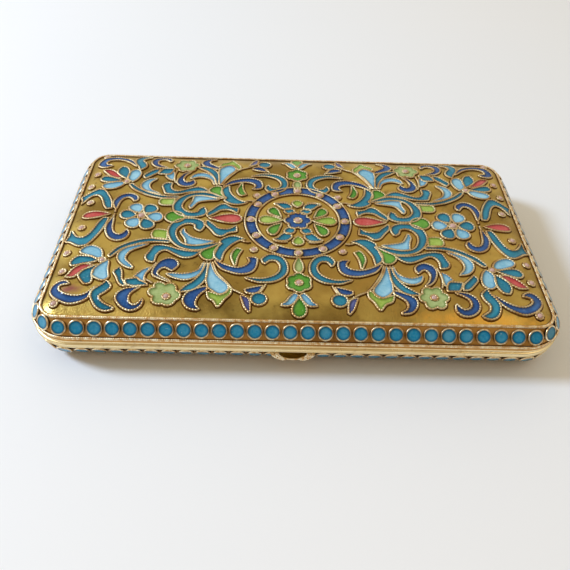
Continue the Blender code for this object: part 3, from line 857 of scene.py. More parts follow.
def mottle_group() -> NodeTree:
    """A soft or crisp mottling: noise at a scale, cut between two levels.

    Returns:
        The group.
    """
    tree = begun_group("mottle", "Float", ("Scale", "Detail", "Low", "High"), "Mask")
    given = node(tree, "NodeGroupInput").outputs
    where = node(tree, "ShaderNodeTexCoord").outputs["Object"]
    noise = node(tree, "ShaderNodeTexNoise", {"Vector": where, "Scale": given["Scale"],
                                              "Detail": given["Detail"]})
    level = node(tree, "ShaderNodeMapRange", {"Value": noise.outputs[0], "From Min": given["Low"],
                                              "From Max": given["High"]}, interpolation_type="SMOOTHSTEP")
    node(tree, "NodeGroupOutput", {"Mask": level.outputs["Result"]})
    return tree


def stipple_group() -> NodeTree:
    """The punched, matted surface of a gilt ground: small dimples with a finer grain.

    Returns:
        The group.
    """
    tree = begun_group("stipple", "Float", ("Scale",), "Height")
    scale = node(tree, "NodeGroupInput").outputs["Scale"]
    where = node(tree, "ShaderNodeTexCoord").outputs["Object"]
    dimples = node(tree, "ShaderNodeTexVoronoi", {"Vector": where, "Scale": scale})
    finer = node(tree, "ShaderNodeMath", {0: scale, 1: 1.7}, operation="MULTIPLY").outputs[0]
    grain = node(tree, "ShaderNodeTexNoise", {"Vector": where, "Scale": finer, "Detail": 2.0})
    height = node(tree, "ShaderNodeMath", {0: dimples.outputs["Distance"], 1: grain.outputs[0]},
                  operation="ADD")
    node(tree, "NodeGroupOutput", {"Height": height.outputs[0]})
    return tree


def stain_group() -> NodeTree:
    """A patch with a soft and broken edge, which reaches so far each way from its middle.

    Returns:
        The group.
    """
    tree = begun_group("stain", "Vector", ("Middle", "Reach"), "Mask")
    given = node(tree, "NodeGroupInput").outputs
    where = node(tree, "ShaderNodeTexCoord").outputs["Object"]
    offset = node(tree, "ShaderNodeVectorMath", {0: where, 1: given["Middle"]}, operation="SUBTRACT")
    share = node(tree, "ShaderNodeVectorMath", {0: offset.outputs["Vector"], 1: given["Reach"]},
                 operation="DIVIDE")
    far = node(tree, "ShaderNodeVectorMath", {0: share.outputs["Vector"]}, operation="LENGTH")
    noise = node(tree, "ShaderNodeTexNoise", {"Vector": where, "Scale": 650.0, "Detail": 4.0})
    broken = node(tree, "ShaderNodeMath", {0: far.outputs["Value"], 1: noise.outputs[0]}, operation="ADD")
    node(tree, "NodeGroupOutput", {"Mask": scaled(tree, broken.outputs[0], 0.7, 1.45, 1.0, 0.0)})
    return tree


MOTTLE = mottle_group()
STIPPLE = stipple_group()
STAIN = stain_group()


@dataclass(frozen=True)
class Mottling:
    """Noise at a scale, cut between a low and a high level."""

    scale: float
    low: float
    high: float
    detail: float = 4.0

    def mask(self, tree: NodeTree) -> NodeSocket:
        """The mottling's mask in a material."""
        levels = {"Scale": self.scale, "Detail": self.detail, "Low": self.low, "High": self.high}
        return node(tree, "ShaderNodeGroup", levels, node_tree=MOTTLE).outputs["Mask"]


def blank(name: str) -> tuple[Material, NodeTree, Node]:
    """A new material with its tree and its shader.

    Args:
        name: Its name.

    Returns:
        The material, its tree and its shader.
    """
    made = bpy.data.materials.new(name)
    made.use_nodes = True
    return made, made.node_tree, made.node_tree.nodes["Principled BSDF"]


@dataclass(frozen=True)
class LaidPatch:
    """A soft patch of colour laid over the lid's gold: some tint the gold, others are painted reflections.
    """

    middle: Point
    reach: Point
    colour: Colour
    strength: float
    reach_down: float = 4.0

    def over(self, tree: NodeTree, colour: NodeSocket) -> NodeSocket:
        """The colour with the patch laid over it.

        Args:
            tree: The material's or group's tree.
            colour: The colour.

        Returns:
            The socket that gives the new colour.
        """
        middle = Vector((*self.middle, LID_HIGH.z / MM)) * MM
        reach = Vector((*self.reach, self.reach_down)) * MM
        patch = node(tree, "ShaderNodeGroup", {"Middle": middle, "Reach": reach}, node_tree=STAIN)
        share = scaled(tree, patch.outputs["Mask"], 0, 1, 0.0, self.strength)
        return mixed(tree, share, colour, self.colour)


@dataclass(frozen=True)
class Gilding:
    """Fire-gilt sheet: gold that has toned brown in places, matted or polished, with patches laid over it,
    some of them painted reflections.
    """

    name: str
    gold: Colour
    toned: Colour
    tarnish: Colour
    roughness: float
    grain: float
    grain_scale: float = 3200.0
    tarnished: float = 0.5
    stains_and_reflections: tuple[LaidPatch, ...] = ()
    grain_depth: float = 0.03 * MM
    cloud: Mottling = Mottling(90.0, 0.35, 0.65)
    spots: Mottling = Mottling(700.0, 0.58, 0.75)
    rub: Mottling = Mottling(260.0, 0.3, 0.7, 3.0)
    rubbed: tuple[float, float] = (0.82, 1.2)

    def dress(self) -> Material:
        """Builds the material.

        Returns:
            The material.
        """
        made, tree, shader = blank(self.name)
        colour = mixed(tree, self.cloud.mask(tree), self.gold, self.toned)
        share = node(tree, "ShaderNodeMath", {0: self.spots.mask(tree), 1: self.tarnished},
                     operation="MULTIPLY")
        colour = mixed(tree, share.outputs[0], colour, self.tarnish)
        # Laid patches, among them painted reflections on the lid's front border.
        for stain in self.stains_and_reflections:
            colour = stain.over(tree, colour)
        tree.links.new(colour, shader.inputs["Base Color"])
        shader.inputs["Metallic"].default_value = 1.0
        least, most = (self.roughness * share for share in self.rubbed)
        tree.links.new(scaled(tree, self.rub.mask(tree), 0, 1, least, most), shader.inputs["Roughness"])
        if self.grain:
            punched = node(tree, "ShaderNodeGroup", {"Scale": self.grain_scale}, node_tree=STIPPLE)
            bump = node(tree, "ShaderNodeBump", {"Strength": self.grain, "Distance": self.grain_depth,
                                                 "Height": punched.outputs["Height"]})
            tree.links.new(bump.outputs["Normal"], shader.inputs["Normal"])
        return made


@dataclass(frozen=True)
class GiltWire:
    """Drawn and twisted wire, rubbed bright along its crest and brown beside the sheet, which is partly
    patina and partly painted shade.
    """

    name: str
    bright: Colour
    toned: Colour
    # Colour at the wire's foot: partly patina, partly painted shade.
    foot: Colour
    roughness: float = 0.3
    wear_scale: float = 420.0
    wear_levels: tuple[float, float] = (0.35, 0.68)
    shaded_foot_levels: tuple[float, float] = (0.25, 0.62)
    rub_levels: tuple[float, float] = (0.2, 0.9)
    dulled: float = 0.2

    def dress(self) -> Material:
        """Builds the material.

        Returns:
            The material.
        """
        made, tree, shader = blank(self.name)
        crest = node(tree, "ShaderNodeAttribute", attribute_name="crest").outputs["Fac"]
        worn = Mottling(self.wear_scale, *self.wear_levels).mask(tree)
        colour = mixed(tree, worn, self.bright, self.toned)
        # Painted shade: the wire turns to its foot colour where it meets the sheet, partly as patina there.
        colour = mixed(tree, scaled(tree, crest, *self.shaded_foot_levels, 1.0, 0.0), colour, self.foot)
        tree.links.new(colour, shader.inputs["Base Color"])
        shader.inputs["Metallic"].default_value = 1.0
        dull = self.roughness + self.dulled
        tree.links.new(scaled(tree, crest, *self.rub_levels, dull, self.roughness),
                       shader.inputs["Roughness"])
        return made


@dataclass(frozen=True)
class Glaze:
    """Fired enamel: glassy, a little uneven, with specks, and deeper in tone beside the wires, partly as
    thicker glass and partly as painted shade.
    """

    colour: Colour
    deep: Colour
    pale: Colour
    fleck: Colour = srgb(235, 232, 220)
    roughness: float = 0.14
    rough_pits: float = 0.25
    shine: float = 0.28
    ripple_strength: float = 0.35
    ripple_depth: float = 0.05 * MM
    wall_shade_levels: tuple[float, float] = (0.12, 0.85)
    cloud: Mottling = Mottling(380.0, 0.3, 0.75)
    frit: Mottling = Mottling(2100.0, 0.36, 0.62, 2.0)
    pits: Mottling = Mottling(3300.0, 0.66, 0.74, 2.0)
    flecks: Mottling = Mottling(2600.0, 0.69, 0.76, 2.0)
    ripple: Mottling = Mottling(700.0, 0.2, 0.8, 2.0)

    def dress(self, name: str) -> Material:
        """Builds the material under a name.

        Args:
            name: Its name.

        Returns:
            The material.
        """
        made, tree, shader = blank(name)
        tone, middle = (node(tree, "ShaderNodeAttribute", attribute_name=layer).outputs["Fac"]
                        for layer in ("tone", "middle"))
        lighter = node(tree, "ShaderNodeMath", {0: tone, 1: self.cloud.mask(tree)}, operation="MULTIPLY")
        pits = self.pits.mask(tree)
        colour = self.colour
        # The third layer deepens each cell beside its walls: partly thicker glass, partly painted shade from
        # the wires.
        for mask, most, tint in ((lighter.outputs[0], 0.75, self.pale),
                                 (self.frit.mask(tree), 0.24, self.pale),
                                 (scaled(tree, middle, *self.wall_shade_levels, 1.0, 0.0), 0.95, self.deep),
                                 (pits, 0.5, self.deep),
                                 (self.flecks.mask(tree), 0.3, self.fleck)):
            colour = mixed(tree, scaled(tree, mask, 0, 1, 0.0, most), colour, tint)
        tree.links.new(colour, shader.inputs["Base Color"])
        tree.links.new(scaled(tree, pits, 0, 1, self.roughness, self.roughness + self.rough_pits),
                       shader.inputs["Roughness"])
        shader.inputs["Specular IOR Level"].default_value = self.shine
        level = node(tree, "ShaderNodeMath", {0: self.ripple.mask(tree), 1: pits}, operation="SUBTRACT")
        bump = node(tree, "ShaderNodeBump", {"Strength": self.ripple_strength, "Height": level.outputs[0],
                                             "Distance": self.ripple_depth})
        tree.links.new(bump.outputs["Normal"], shader.inputs["Normal"])
        return made


STAINS_AND_REFLECTIONS = (
    # The first patch tints most of the panel and the two pink ones tint the left end; the three along the
    # front border are painted reflections: pale at the left, bright amber at the right and dark in the
    # middle.
    LaidPatch((18.0, -7.0), (42.0, 26.0), srgb(176, 140, 70), 0.7),
    LaidPatch((-32.0, -24.4), (20.0, 3.8), srgb(230, 192, 104), 0.85),
    LaidPatch((34.0, -24.6), (17.0, 3.4), srgb(238, 180, 78), 0.9),
    LaidPatch((1.0, -25.4), (17.0, 2.3), srgb(104, 78, 42), 0.75),
    LaidPatch((-42.8, -19.2), (2.8, 1.6), srgb(158, 100, 104), 0.9),
    LaidPatch((-45.0, -17.3), (1.6, 1.3), srgb(158, 100, 104), 0.75),
)
GROUND = Gilding("matted_gilding", srgb(204, 178, 98), srgb(150, 124, 62), srgb(66, 52, 26), 0.34, 1.0,
                 stains_and_reflections=STAINS_AND_REFLECTIONS)
PLATE = Gilding("polished_gilding", srgb(252, 234, 188), srgb(244, 218, 162), srgb(166, 124, 70), 0.3,
                0.08, 1500.0, 0.35)
# The third colour of each wire is its foot, which is partly patina and partly painted shade where the wire
# meets the sheet.
INNER_WIRE = GiltWire("twisted_wire", srgb(222, 206, 166), srgb(190, 154, 102), srgb(92, 60, 24), 0.3)
EDGE_WIRE = GiltWire("edge_wire", srgb(255, 242, 208), srgb(216, 170, 108), srgb(112, 74, 34), 0.26,
                     1500.0)
PIN_WIRE = Gilding("pin_gilding", srgb(224, 184, 112), srgb(196, 148, 84), srgb(96, 66, 36), 0.28, 0.1)
BROWNED = Gilding("browned_gilding", srgb(210, 158, 86), srgb(170, 122, 62), srgb(92, 62, 30), 0.42, 0.8)
# Browned solder under the wires; its dark strips also paint the shade beside them.
SOLDER_AND_SHADE = Gilding("browned_solder", srgb(150, 104, 48), srgb(104, 66, 30), srgb(56, 34, 16), 0.45, 0.4)
# A near-black gilt for the faces inside the thumb notch: painted shade.
HOLLOW_SHADE = Gilding("painted_shade_hollow", srgb(52, 48, 32), srgb(40, 36, 24), srgb(22, 18, 10), 0.5, 0.3)
PEARL = Glaze(srgb(232, 208, 198), srgb(196, 160, 150), srgb(248, 236, 230))

GLAZES = {
    TEAL: Glaze(srgb(20, 112, 136), srgb(8, 52, 70), srgb(58, 150, 176)),
    ROYAL: Glaze(srgb(22, 70, 130), srgb(10, 26, 64), srgb(66, 116, 172)),
    SKY: Glaze(srgb(116, 178, 206), srgb(54, 112, 148), srgb(174, 216, 230)),
    CORAL: Glaze(srgb(186, 62, 62), srgb(112, 32, 36), srgb(214, 116, 108)),
    GREEN: Glaze(srgb(70, 138, 36), srgb(32, 78, 18), srgb(120, 174, 74)),
    LIME: Glaze(srgb(146, 174, 66), srgb(90, 118, 36), srgb(188, 206, 118)),
    PALE: Glaze(srgb(148, 168, 100), srgb(98, 120, 60), srgb(190, 202, 146)),
    LILAC: Glaze(srgb(84, 92, 146), srgb(36, 38, 84), srgb(140, 146, 190)),
    TURQUOISE: Glaze(srgb(22, 130, 170), srgb(16, 88, 116), srgb(96, 162, 184)),
}


def finished(bm: BMesh, name: str, materials: list[Material]) -> Object:
    """Turns a bmesh into a linked object at the origin, smooth but for its sharp edges.

    Args:
        bm: The shape, which is freed.
        name: The piece's name.
        materials: Its material slots, in order.

    Returns:
        The new object.
    """
    mesh = bpy.data.meshes.new(name)
    bm.to_mesh(mesh)
    bm.free()
    for material in materials:
        mesh.materials.append(material)
    piece = bpy.data.objects.new(name, mesh)
    bpy.context.scene.collection.objects.link(piece)
    smooth(piece)
    return piece


def smooth(piece: Object, sharp_deg: float = 38.0) -> None:
    """Shades a piece smooth, with sharp edges above an angle."""
    piece.data.shade_smooth()
    piece.data.set_sharp_from_angle(angle=math.radians(sharp_deg))


def settle(piece: Object, half: Half) -> Object:
    """Lets a piece ride on its half of the case and reports it.

    Args:
        piece: The piece.
        half: The half of the case that it belongs to.

    Returns:
        The piece.
    """
    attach(piece, half.body)
    LOG.info("%s: %d faces", piece.name, len(piece.data.polygons))
    return piece


def evaluated_mesh(piece: Object) -> Mesh:
    """A new mesh of what a piece's modifiers, or a curve's thickness, make of it."""
    bpy.context.view_layer.update()
    return bpy.data.meshes.new_from_object(piece.evaluated_get(bpy.context.evaluated_depsgraph_get()))


def bake_modifiers(piece: Object, tools: list[Object]) -> None:
    """Applies a piece's modifiers to its mesh and removes the tools that they used.

    Args:
        piece: The piece.
        tools: The other objects that the modifiers use.
    """
    mesh = evaluated_mesh(piece)
    piece.modifiers.clear()
    piece.data = mesh
    for tool in tools:
        bpy.data.objects.remove(tool)


def joined(piece: Object, operation: str, tool: Object) -> None:
    """Adds a Boolean with a tool to a piece.

    Args:
        piece: The piece.
        operation: What the Boolean does.
        tool: The other object.
    """
    step = piece.modifiers.new(tool.name, "BOOLEAN")
    step.operation = operation
    step.object = tool
    step.solver = "EXACT"


@dataclass
class WireWork:
    """Beaded wire of one thickness, laid along paths and made into one piece."""

    half: Half
    radius: float
    pitch: float
    swell: float
    samples: int = 3
    weld_share: float = 0.0001
    paths: list[tuple[list[Vector], bool]] = field(default_factory=list)

    def lay(self, points: list[Vector], closed: bool) -> None:
        """Adds a path that runs along the middle of the wire."""
        self.paths.append((points, closed))

    def beads_along(self, points: list[Vector], closed: bool) -> list[tuple[Vector, float]]:
        """Samples a path a few times in each bead.

        Args:
            points: The path.
            closed: Whether it returns to its start.

        Returns:
            Points with the share of the radius that the wire has there.
        """
        track = points + points[:1] if closed else points
        marks = np.concatenate(([0.0], np.cumsum([(b - a).length for a, b in zip(track, track[1:])])))
        beads = max(2, round(marks[-1] / self.pitch))
        count = beads * self.samples
        places = np.linspace(0, marks[-1], count + 1)[:count if closed else count + 1]
        spread = [np.interp(places, marks, [p[axis] for p in track]) for axis in range(3)]
        result = []
        for index, place in enumerate(zip(*spread)):
            wave = abs(math.cos(math.pi * index / self.samples)) * 2 - 1
            result.append((Vector(place), 1 + self.swell * wave))
        return result

    def build(self, name: str, material: Material, flatness: float = 1.0, sides: int = 6) -> None:
        """Makes all the paths one mesh, with the crest of the wire stored for its finish.

        Args:
            name: The piece's name.
            material: Its finish.
            flatness: How far the wire is pressed down on the sheet; 1 leaves it round.
            sides: Sides of the wire.
        """
        curve = bpy.data.curves.new(name, "CURVE")
        curve.dimensions = "3D"
        curve.bevel_depth = self.radius
        curve.bevel_resolution = (sides - 4) // 2
        curve.use_fill_caps = True
        for points, closed in self.paths:
            beads = self.beads_along(points, closed)
            strand = curve.splines.new("POLY")
            strand.use_cyclic_u = closed
            strand.points.add(len(beads) - 1)
            for target, (place, share) in zip(strand.points, beads):
                target.co = (*place, 1)
                target.radius = share
        guide = bpy.data.objects.new(name + "_path", curve)
        bpy.context.scene.collection.objects.link(guide)
        mesh = evaluated_mesh(guide)
        mesh.name = name
        bpy.data.objects.remove(guide)
        bpy.data.curves.remove(curve)
        bm = bmesh.new()
        bm.from_mesh(mesh)
        bmesh.ops.remove_doubles(bm, verts=bm.verts, dist=self.radius * self.weld_share)
        bmesh.ops.recalc_face_normals(bm, faces=bm.faces)
        bm.to_mesh(mesh)
        bm.free()
        mesh.materials.clear()
        mesh.materials.append(material)
        shape_crest(mesh, self.half, self.radius, flatness)
        piece = bpy.data.objects.new(name, mesh)
        bpy.context.scene.collection.objects.link(piece)
        mesh.shade_smooth()
        settle(piece, self.half)


def shape_crest(mesh: Mesh, half: Half, radius: float, flatness: float) -> None:
    """Stores how high each point of a wire stands over the sheet, from 0 to 1, and presses it down.

    Args:
        mesh: The wire's mesh.
        half: The half that it lies on.
        radius: The wire's radius.
        flatness: The share of its height over the sheet that the wire keeps.
    """
    places = np.empty(len(mesh.vertices) * 3)
    mesh.vertices.foreach_get("co", places)
    x, y, z = places.reshape(-1, 3).T
    inset = PLAN.insets(x, y)
    height = (z - HINGE.z) * half.side.value
    section = half.section
    over_panel = height - section.panel_height
    over_dome = np.hypot(section.panel_inset - inset, height - section.panel_height
                         + DOME_RADIUS) - DOME_RADIUS
    over_edge = np.hypot(section.setback + section.edge_radius - inset,
                         height - section.rim_height) - section.edge_radius
    lift = np.where(inset >= section.panel_inset, over_panel,
                    np.where(inset >= section.rope_inset, over_dome, over_edge))
    # The wire's finish uses this height to paint shade at the wire's foot.
    crest = mesh.attributes.new("crest", "FLOAT", "POINT")
    crest.data.foreach_set("value", np.clip(lift / (2 * radius), 0, 1))
    if flatness < 1.0:
        places[2::3] -= lift * (1 - flatness) * half.side.value
        mesh.vertices.foreach_set("co", places)


def signed_area(outline: list[Point]) -> float:
    """Area of a closed outline, positive if it runs anticlockwise."""
    return sum(a[0] * b[1] - b[0] * a[1] for a, b in zip(outline, outline[1:] + outline[:1])) / 2


def widened(outline: list[Point], margin: float) -> list[Point]:
    """A closed outline moved outwards by a margin.

    Args:
        outline: The outline.
        margin: How far.

    Returns:
        The wider outline.
    """
    turn = 1 if signed_area(outline) > 0 else -1
    result = []
    for before, here, after in zip(outline[-1:] + outline[:-1], outline, outline[1:] + outline[:1]):
        dx, dy = after[0] - before[0], after[1] - before[1]
        size = math.hypot(dx, dy) or 1.0
        result.append((here[0] + turn * dy / size * margin, here[1] - turn * dx / size * margin))
    return result


@dataclass
class EnamelWork:
    """Cells of one enamel, fused into one piece."""

    half: Half
    top: float = 0.3 * MM
    dip: float = 0.2 * MM
    depth: float = 0.06 * MM
    grid: float = 0.42 * MM
    row_share: float = 0.866
    meniscus: float = 0.22 * MM
    shade_width: float = 0.7 * MM
    bm: BMesh = field(default_factory=bmesh.new)

    def __post_init__(self) -> None:
        """Gives the mesh its layers: a cell's tone, and the way in from its wall."""
        self.tone = self.bm.verts.layers.float.new("tone")
        self.middle = self.bm.verts.layers.float.new("middle")

    def fill(self, outline: list[Point], tone: float) -> None:
        """Fills a cell: a skin that sinks a little between its walls, closed below.

        Args:
            outline: The cell's wall on the panel's plan, in metres.
            tone: How light this cell fired, from 0 to 1.
        """
        wall = np.array(outline) / MM
        points = [Vector(p) for p in wall] + self.inner_points(wall)
        loop = [list(range(len(outline)))]
        places, _, faces, *_ = delaunay_2d_cdt(points, [], loop, 1, 1e-4, False)
        faces = [face for face in faces
                 if self.inside(wall, sum((places[i] for i in face), Vector((0, 0))) / len(face))]
        made = []
        for place in places:
            way_in = self.way_in(wall, place) * MM
            lift = self.top - self.dip * (1 - math.exp(-way_in / self.meniscus))
            vert = self.bm.verts.new(self.half.on_panel(place.x * MM, place.y * MM, lift))
            vert[self.tone] = tone
            # The way in from the wall, which the glaze turns into a deeper tone beside the wires, partly
            # painted shade.
            vert[self.middle] = min(1.0, way_in / self.shade_width)
            made.append(vert)
        skin = [self.bm.faces.new([made[i] for i in face]) for face in faces]
        edges = list(dict.fromkeys(edge for face in skin for edge in face.edges
                                   if len(edge.link_faces) == 1))
        grown = bmesh.ops.extrude_edge_only(self.bm, edges=edges)["geom"]
        lower = {item for item in grown if isinstance(item, BMVert)}
        for vert in lower:
            vert.co = self.half.on_panel(vert.co.x, vert.co.y, -self.depth)
        rim = [item for item in grown
               if isinstance(item, BMEdge) and lower.issuperset(item.verts)]
        bmesh.ops.edgeloop_fill(self.bm, edges=rim)
        for vert in made:
            if not vert.link_faces:
                self.bm.verts.remove(vert)

    def inner_points(self, wall: np.ndarray) -> list[Vector]:
        """A staggered grid of points inside a wall and clear of it, in millimetres.

        Args:
            wall: The cell's wall, in millimetres.

        Returns:
            The points.
        """
        step = self.grid / MM
        low, high = wall.min(axis=0), wall.max(axis=0)
        points = []
        row, y = 0, low[1] + step / 2
        while y < high[1]:
            x = low[0] + step * (0.25 + 0.5 * (row % 2))
            while x < high[0]:
                place = Vector((x, y))
                if self.inside(wall, place) and self.way_in(wall, place) > step / 2:
                    points.append(place)
                x += step
            y += step * self.row_share
            row += 1
        return points

    @staticmethod
    def inside(wall: np.ndarray, place: Vector) -> bool:
        """Whether a point lies inside a wall.

        Args:
            wall: The cell's wall, in millimetres.
            place: The point, in millimetres.

        Returns:
            Whether it does.
        """
        ahead = np.roll(wall, -1, axis=0)
        spans = (wall[:, 1] > place.y) != (ahead[:, 1] > place.y)
        rise = np.where(spans, ahead[:, 1] - wall[:, 1], 1.0)
        cross = (ahead[:, 0] - wall[:, 0]) * (place.y - wall[:, 1]) / rise + wall[:, 0]
        return bool(np.count_nonzero(spans & (place.x < cross)) % 2)

    @staticmethod
    def way_in(wall: np.ndarray, place: Vector) -> float:
        """Distance from a point to the nearest piece of a wall.

        Args:
            wall: The cell's wall, in millimetres.
            place: The point, in millimetres.

        Returns:
            The distance, in millimetres.
        """
        run = np.roll(wall, -1, axis=0) - wall
        away = np.array((place.x, place.y)) - wall
        size = np.maximum((run**2).sum(axis=1), 1e-12)
        share = np.clip((away * run).sum(axis=1) / size, 0, 1)
        return float(np.sqrt(((away - run * share[:, None])**2).sum(axis=1).min()))

    def build(self, name: str, material: Material) -> None:
        """Makes the piece."""
        bmesh.ops.recalc_face_normals(self.bm, faces=self.bm.faces)
        settle(finished(self.bm, name, [material]), self.half)


@dataclass
class Shell:
    """A half's sheet: matted outside, polished at the rim and within, with its hinge knuckles."""

    half: Half
    name: str
    arc_steps: int = 14
    long_steps: int = 16
    short_steps: int = 8
    edge_step_deg: float = 3.0
    inner_edge_steps: int = 12
    inner_dome_steps: int = 6
    bezel_gap: float = 0.3 * MM
    bezel_thickness: float = 0.6 * MM
    bezel_height: float = 1.2 * MM

    def angles(self, start: float, end: float) -> list[float]:
        """Evenly spaced angles from a start up to just before an end."""
        count = math.ceil((end - start) / self.edge_step_deg)
        return [start + self.edge_step_deg * step for step in range(count)]

    def outside(self) -> list[tuple[Point, Skin]]:
        """The profile from the top of the rim to the flat panel, with the skin of each band.

        Returns:
            Points as inset and height, each with its skin.
        """
        section = self.half.section
        edge = [*self.angles(EDGE_START_DEG, section.bed_start_deg), section.bed_start_deg,
                *self.angles(section.bed_start_deg + BED_SWEEP_DEG, UPPER_ROPE_DEG)]
        points = [(section.edge_point(degrees), Skin.BROWNED if degrees > BROWNED_START_DEG
                   else Skin.POLISHED) for degrees in edge]
        return points + [(section.dome_point(degrees), Skin.MATTED)
                         for degrees in (*self.angles(UPPER_ROPE_DEG, 90), 90)]

    def inside(self, start_deg: float) -> list[Point]:
        """The same one wall thickness in, from a start angle.

        Args:
            start_deg: The first angle on the round edge.

        Returns:
            Points as inset and height.
        """
        section = self.half.section
        edge_run, dome_run = UPPER_ROPE_DEG - start_deg, 90 - UPPER_ROPE_DEG
        return [*(section.edge_point(start_deg + edge_run * step / self.inner_edge_steps, -WALL)
                  for step in range(self.inner_edge_steps + 1)),
                *(section.dome_point(UPPER_ROPE_DEG + dome_run * step / self.inner_dome_steps, -WALL)
                  for step in range(1, self.inner_dome_steps + 1))]

    def rim(self) -> list[tuple[Point, Skin]]:
        """The lid's plain rim with a fine line round its middle, and the groove above it."""
        profile = ((0.12, 0.0), (0.03, 0.04), (0.0, 0.13), (0.0, 0.34), (0.05, 0.38), (0.05, 0.42),
                   (0.0, 0.46), (0.0, 0.8), (0.04, 0.9), (0.12, 0.97), (0.2, 1.0), (0.36, 1.06))
        return [((inset * MM, JOINT_CLEAR + height * MM), Skin.POLISHED) for inset, height in profile]

    def lofted(self, profile: list[tuple[Point, Skin]]) -> BMesh:
        """Carries a profile round the plan by extruding a ring along it, and closes both ends.

        Args:
            profile: Points as inset and height, each with the skin of the band that leads to it.

        Returns:
            The closed shape.
        """
        stations = PLAN.stations(self.arc_steps, self.long_steps, self.short_steps)
        bm = bmesh.new()
        place = bm.verts.layers.int.new("station")
        ring = bmesh.ops.create_circle(bm, segments=len(stations), radius=PLAN.half_depth)["verts"]
        for index, vert in enumerate(ring):
            vert[place] = index
        (inset, height), _ = profile[0]
        for vert in bm.verts:
            vert.co = self.half.point(*PLAN.at(stations[vert[place]], inset), height)
        edges = list(bm.edges)
        first = edges
        for (inset, height), skin in profile[1:]:
            grown = bmesh.ops.extrude_edge_only(bm, edges=edges)["geom"]
            fresh = {item for item in grown if isinstance(item, BMVert)}
            edges = [item for item in grown
                     if isinstance(item, BMEdge) and fresh.issuperset(item.verts)]
            for item in grown:
                if isinstance(item, BMVert):
                    item.co = self.half.point(*PLAN.at(stations[item[place]], inset), height)
                elif isinstance(item, BMFace):
                    item.material_index = skin.value
        bmesh.ops.edgeloop_fill(bm, edges=first, mat_nr=Skin.MATTED.value)
        bmesh.ops.edgeloop_fill(bm, edges=edges, mat_nr=Skin.POLISHED.value)
        bmesh.ops.recalc_face_normals(bm, faces=bm.faces)
        bm.verts.layers.int.remove(place)
        return bm


def slab(outline: list[Point], near_y: float, far_y: float, name: str,
         material: Material) -> Object:
    """An upright plate: an outline in X and Z, carried from one Y to another.

    Args:
        outline: Its X and Z.
        near_y: Where it starts.
        far_y: Where it ends.
        name: Its name.
        material: Its finish.

    Returns:
        The plate.
    """
    bm = bmesh.new()
    face = bm.faces.new([bm.verts.new((x, near_y, z)) for x, z in outline])
    grown = bmesh.ops.extrude_face_region(bm, geom=[face])["geom"]
    bmesh.ops.translate(bm, vec=(0, far_y - near_y, 0),
                        verts=[item for item in grown if isinstance(item, BMVert)])
    bmesh.ops.recalc_face_normals(bm, faces=bm.faces)
    return finished(bm, name, [material])


def rod(radius: float, length: float, middle: Vector, sides: int, name: str,
        material: Material) -> Object:
    """A closed cylinder along X.

    Args:
        radius: Its radius.
        length: Its length.
        middle: Its middle.
        sides: Its sides.
        name: Its name.
        material: Its finish.

    Returns:
        The cylinder.
    """
    bm = bmesh.new()
    place = Matrix.Translation(middle) @ Matrix.Rotation(math.pi / 2, 4, "Y")
    bmesh.ops.create_cone(bm, cap_ends=True, segments=sides, radius1=radius, radius2=radius,
                          depth=length, matrix=place)
    return finished(bm, name, [material])


@dataclass
class Hinge:
    """Five knuckles along the back edge; the base has the odd ones out, from the left."""

    length: float = 72.0 * MM
    count: int = 5
    barrel: float = 1.2 * MM
    bore: float = 0.75 * MM
    gap: float = 0.3 * MM
    ease: float = 0.12 * MM
    weld: float = 0.01 * MM
    sides: int = 40

    def spans(self) -> list[tuple[float, float]]:
        """Centre and length of each knuckle along X.

        Returns:
            A pair for each knuckle.
        """
        each = (self.length - (self.count - 1) * self.gap) / self.count
        first = -self.length / 2 + each / 2
        return [(first + index * (each + self.gap), each) for index in range(self.count)]

    def knuckle(self, middle_x: float, length: float, name: str,
                material: Material) -> Object:
        """A barrel turned about the hinge's axis, with its ends eased and its bore open.

        Args:
            middle_x: Its middle along X.
            length: Its length.
            name: Its name.
            material: Its finish.

        Returns:
            The barrel.
        """
        end, eased = length / 2, self.barrel - self.ease
        profile = [(self.bore, -end), (eased, -end), (self.barrel, -end + self.ease),
                   (self.barrel, end - self.ease), (eased, end), (self.bore, end)]
        bm = bmesh.new()
        verts = [bm.verts.new((middle_x + along, HINGE.y, HINGE.z + out)) for out, along in profile]
        edges = [bm.edges.new(pair) for pair in zip(verts, verts[1:] + verts[:1])]
        bmesh.ops.spin(bm, geom=verts + edges, cent=HINGE, axis=(1, 0, 0), angle=2 * math.pi,
                       steps=self.sides, use_merge=True)
        bmesh.ops.remove_doubles(bm, verts=bm.verts, dist=self.weld)
        bmesh.ops.recalc_face_normals(bm, faces=bm.faces)
        return finished(bm, name, [material])

    def fit(self, piece: Object, own: int,
            material: Material) -> tuple[list[Object], list[Object]]:
        """Clears the other half's knuckles from a shell and makes its own.

        Args:
            piece: The shell.
            own: 0 if the even knuckles are its own, 1 if the odd ones are.
            material: The knuckles' finish.

        Returns:
            The cutters, and the knuckles.
        """
        cutters, knuckles = [], []
        for index, (middle_x, length) in enumerate(self.spans()):
            if index % 2 == own:
                knuckles.append(self.knuckle(middle_x, length, f"{piece.name}_knuckle_{index}", material))
                continue
            place = Vector((middle_x, HINGE.y, HINGE.z))
            cutters.append(rod(self.barrel + self.gap, length + 2 * self.gap, place, self.sides,
                               f"{piece.name}_pocket_{index}", material))
        place = Vector((0, HINGE.y, HINGE.z))
        cutters.append(rod(self.bore, self.length + 2 * MM, place, self.sides, f"{piece.name}_bore",
                           material))
        for cutter in cutters:
            joined(piece, "DIFFERENCE", cutter)
        return cutters, knuckles


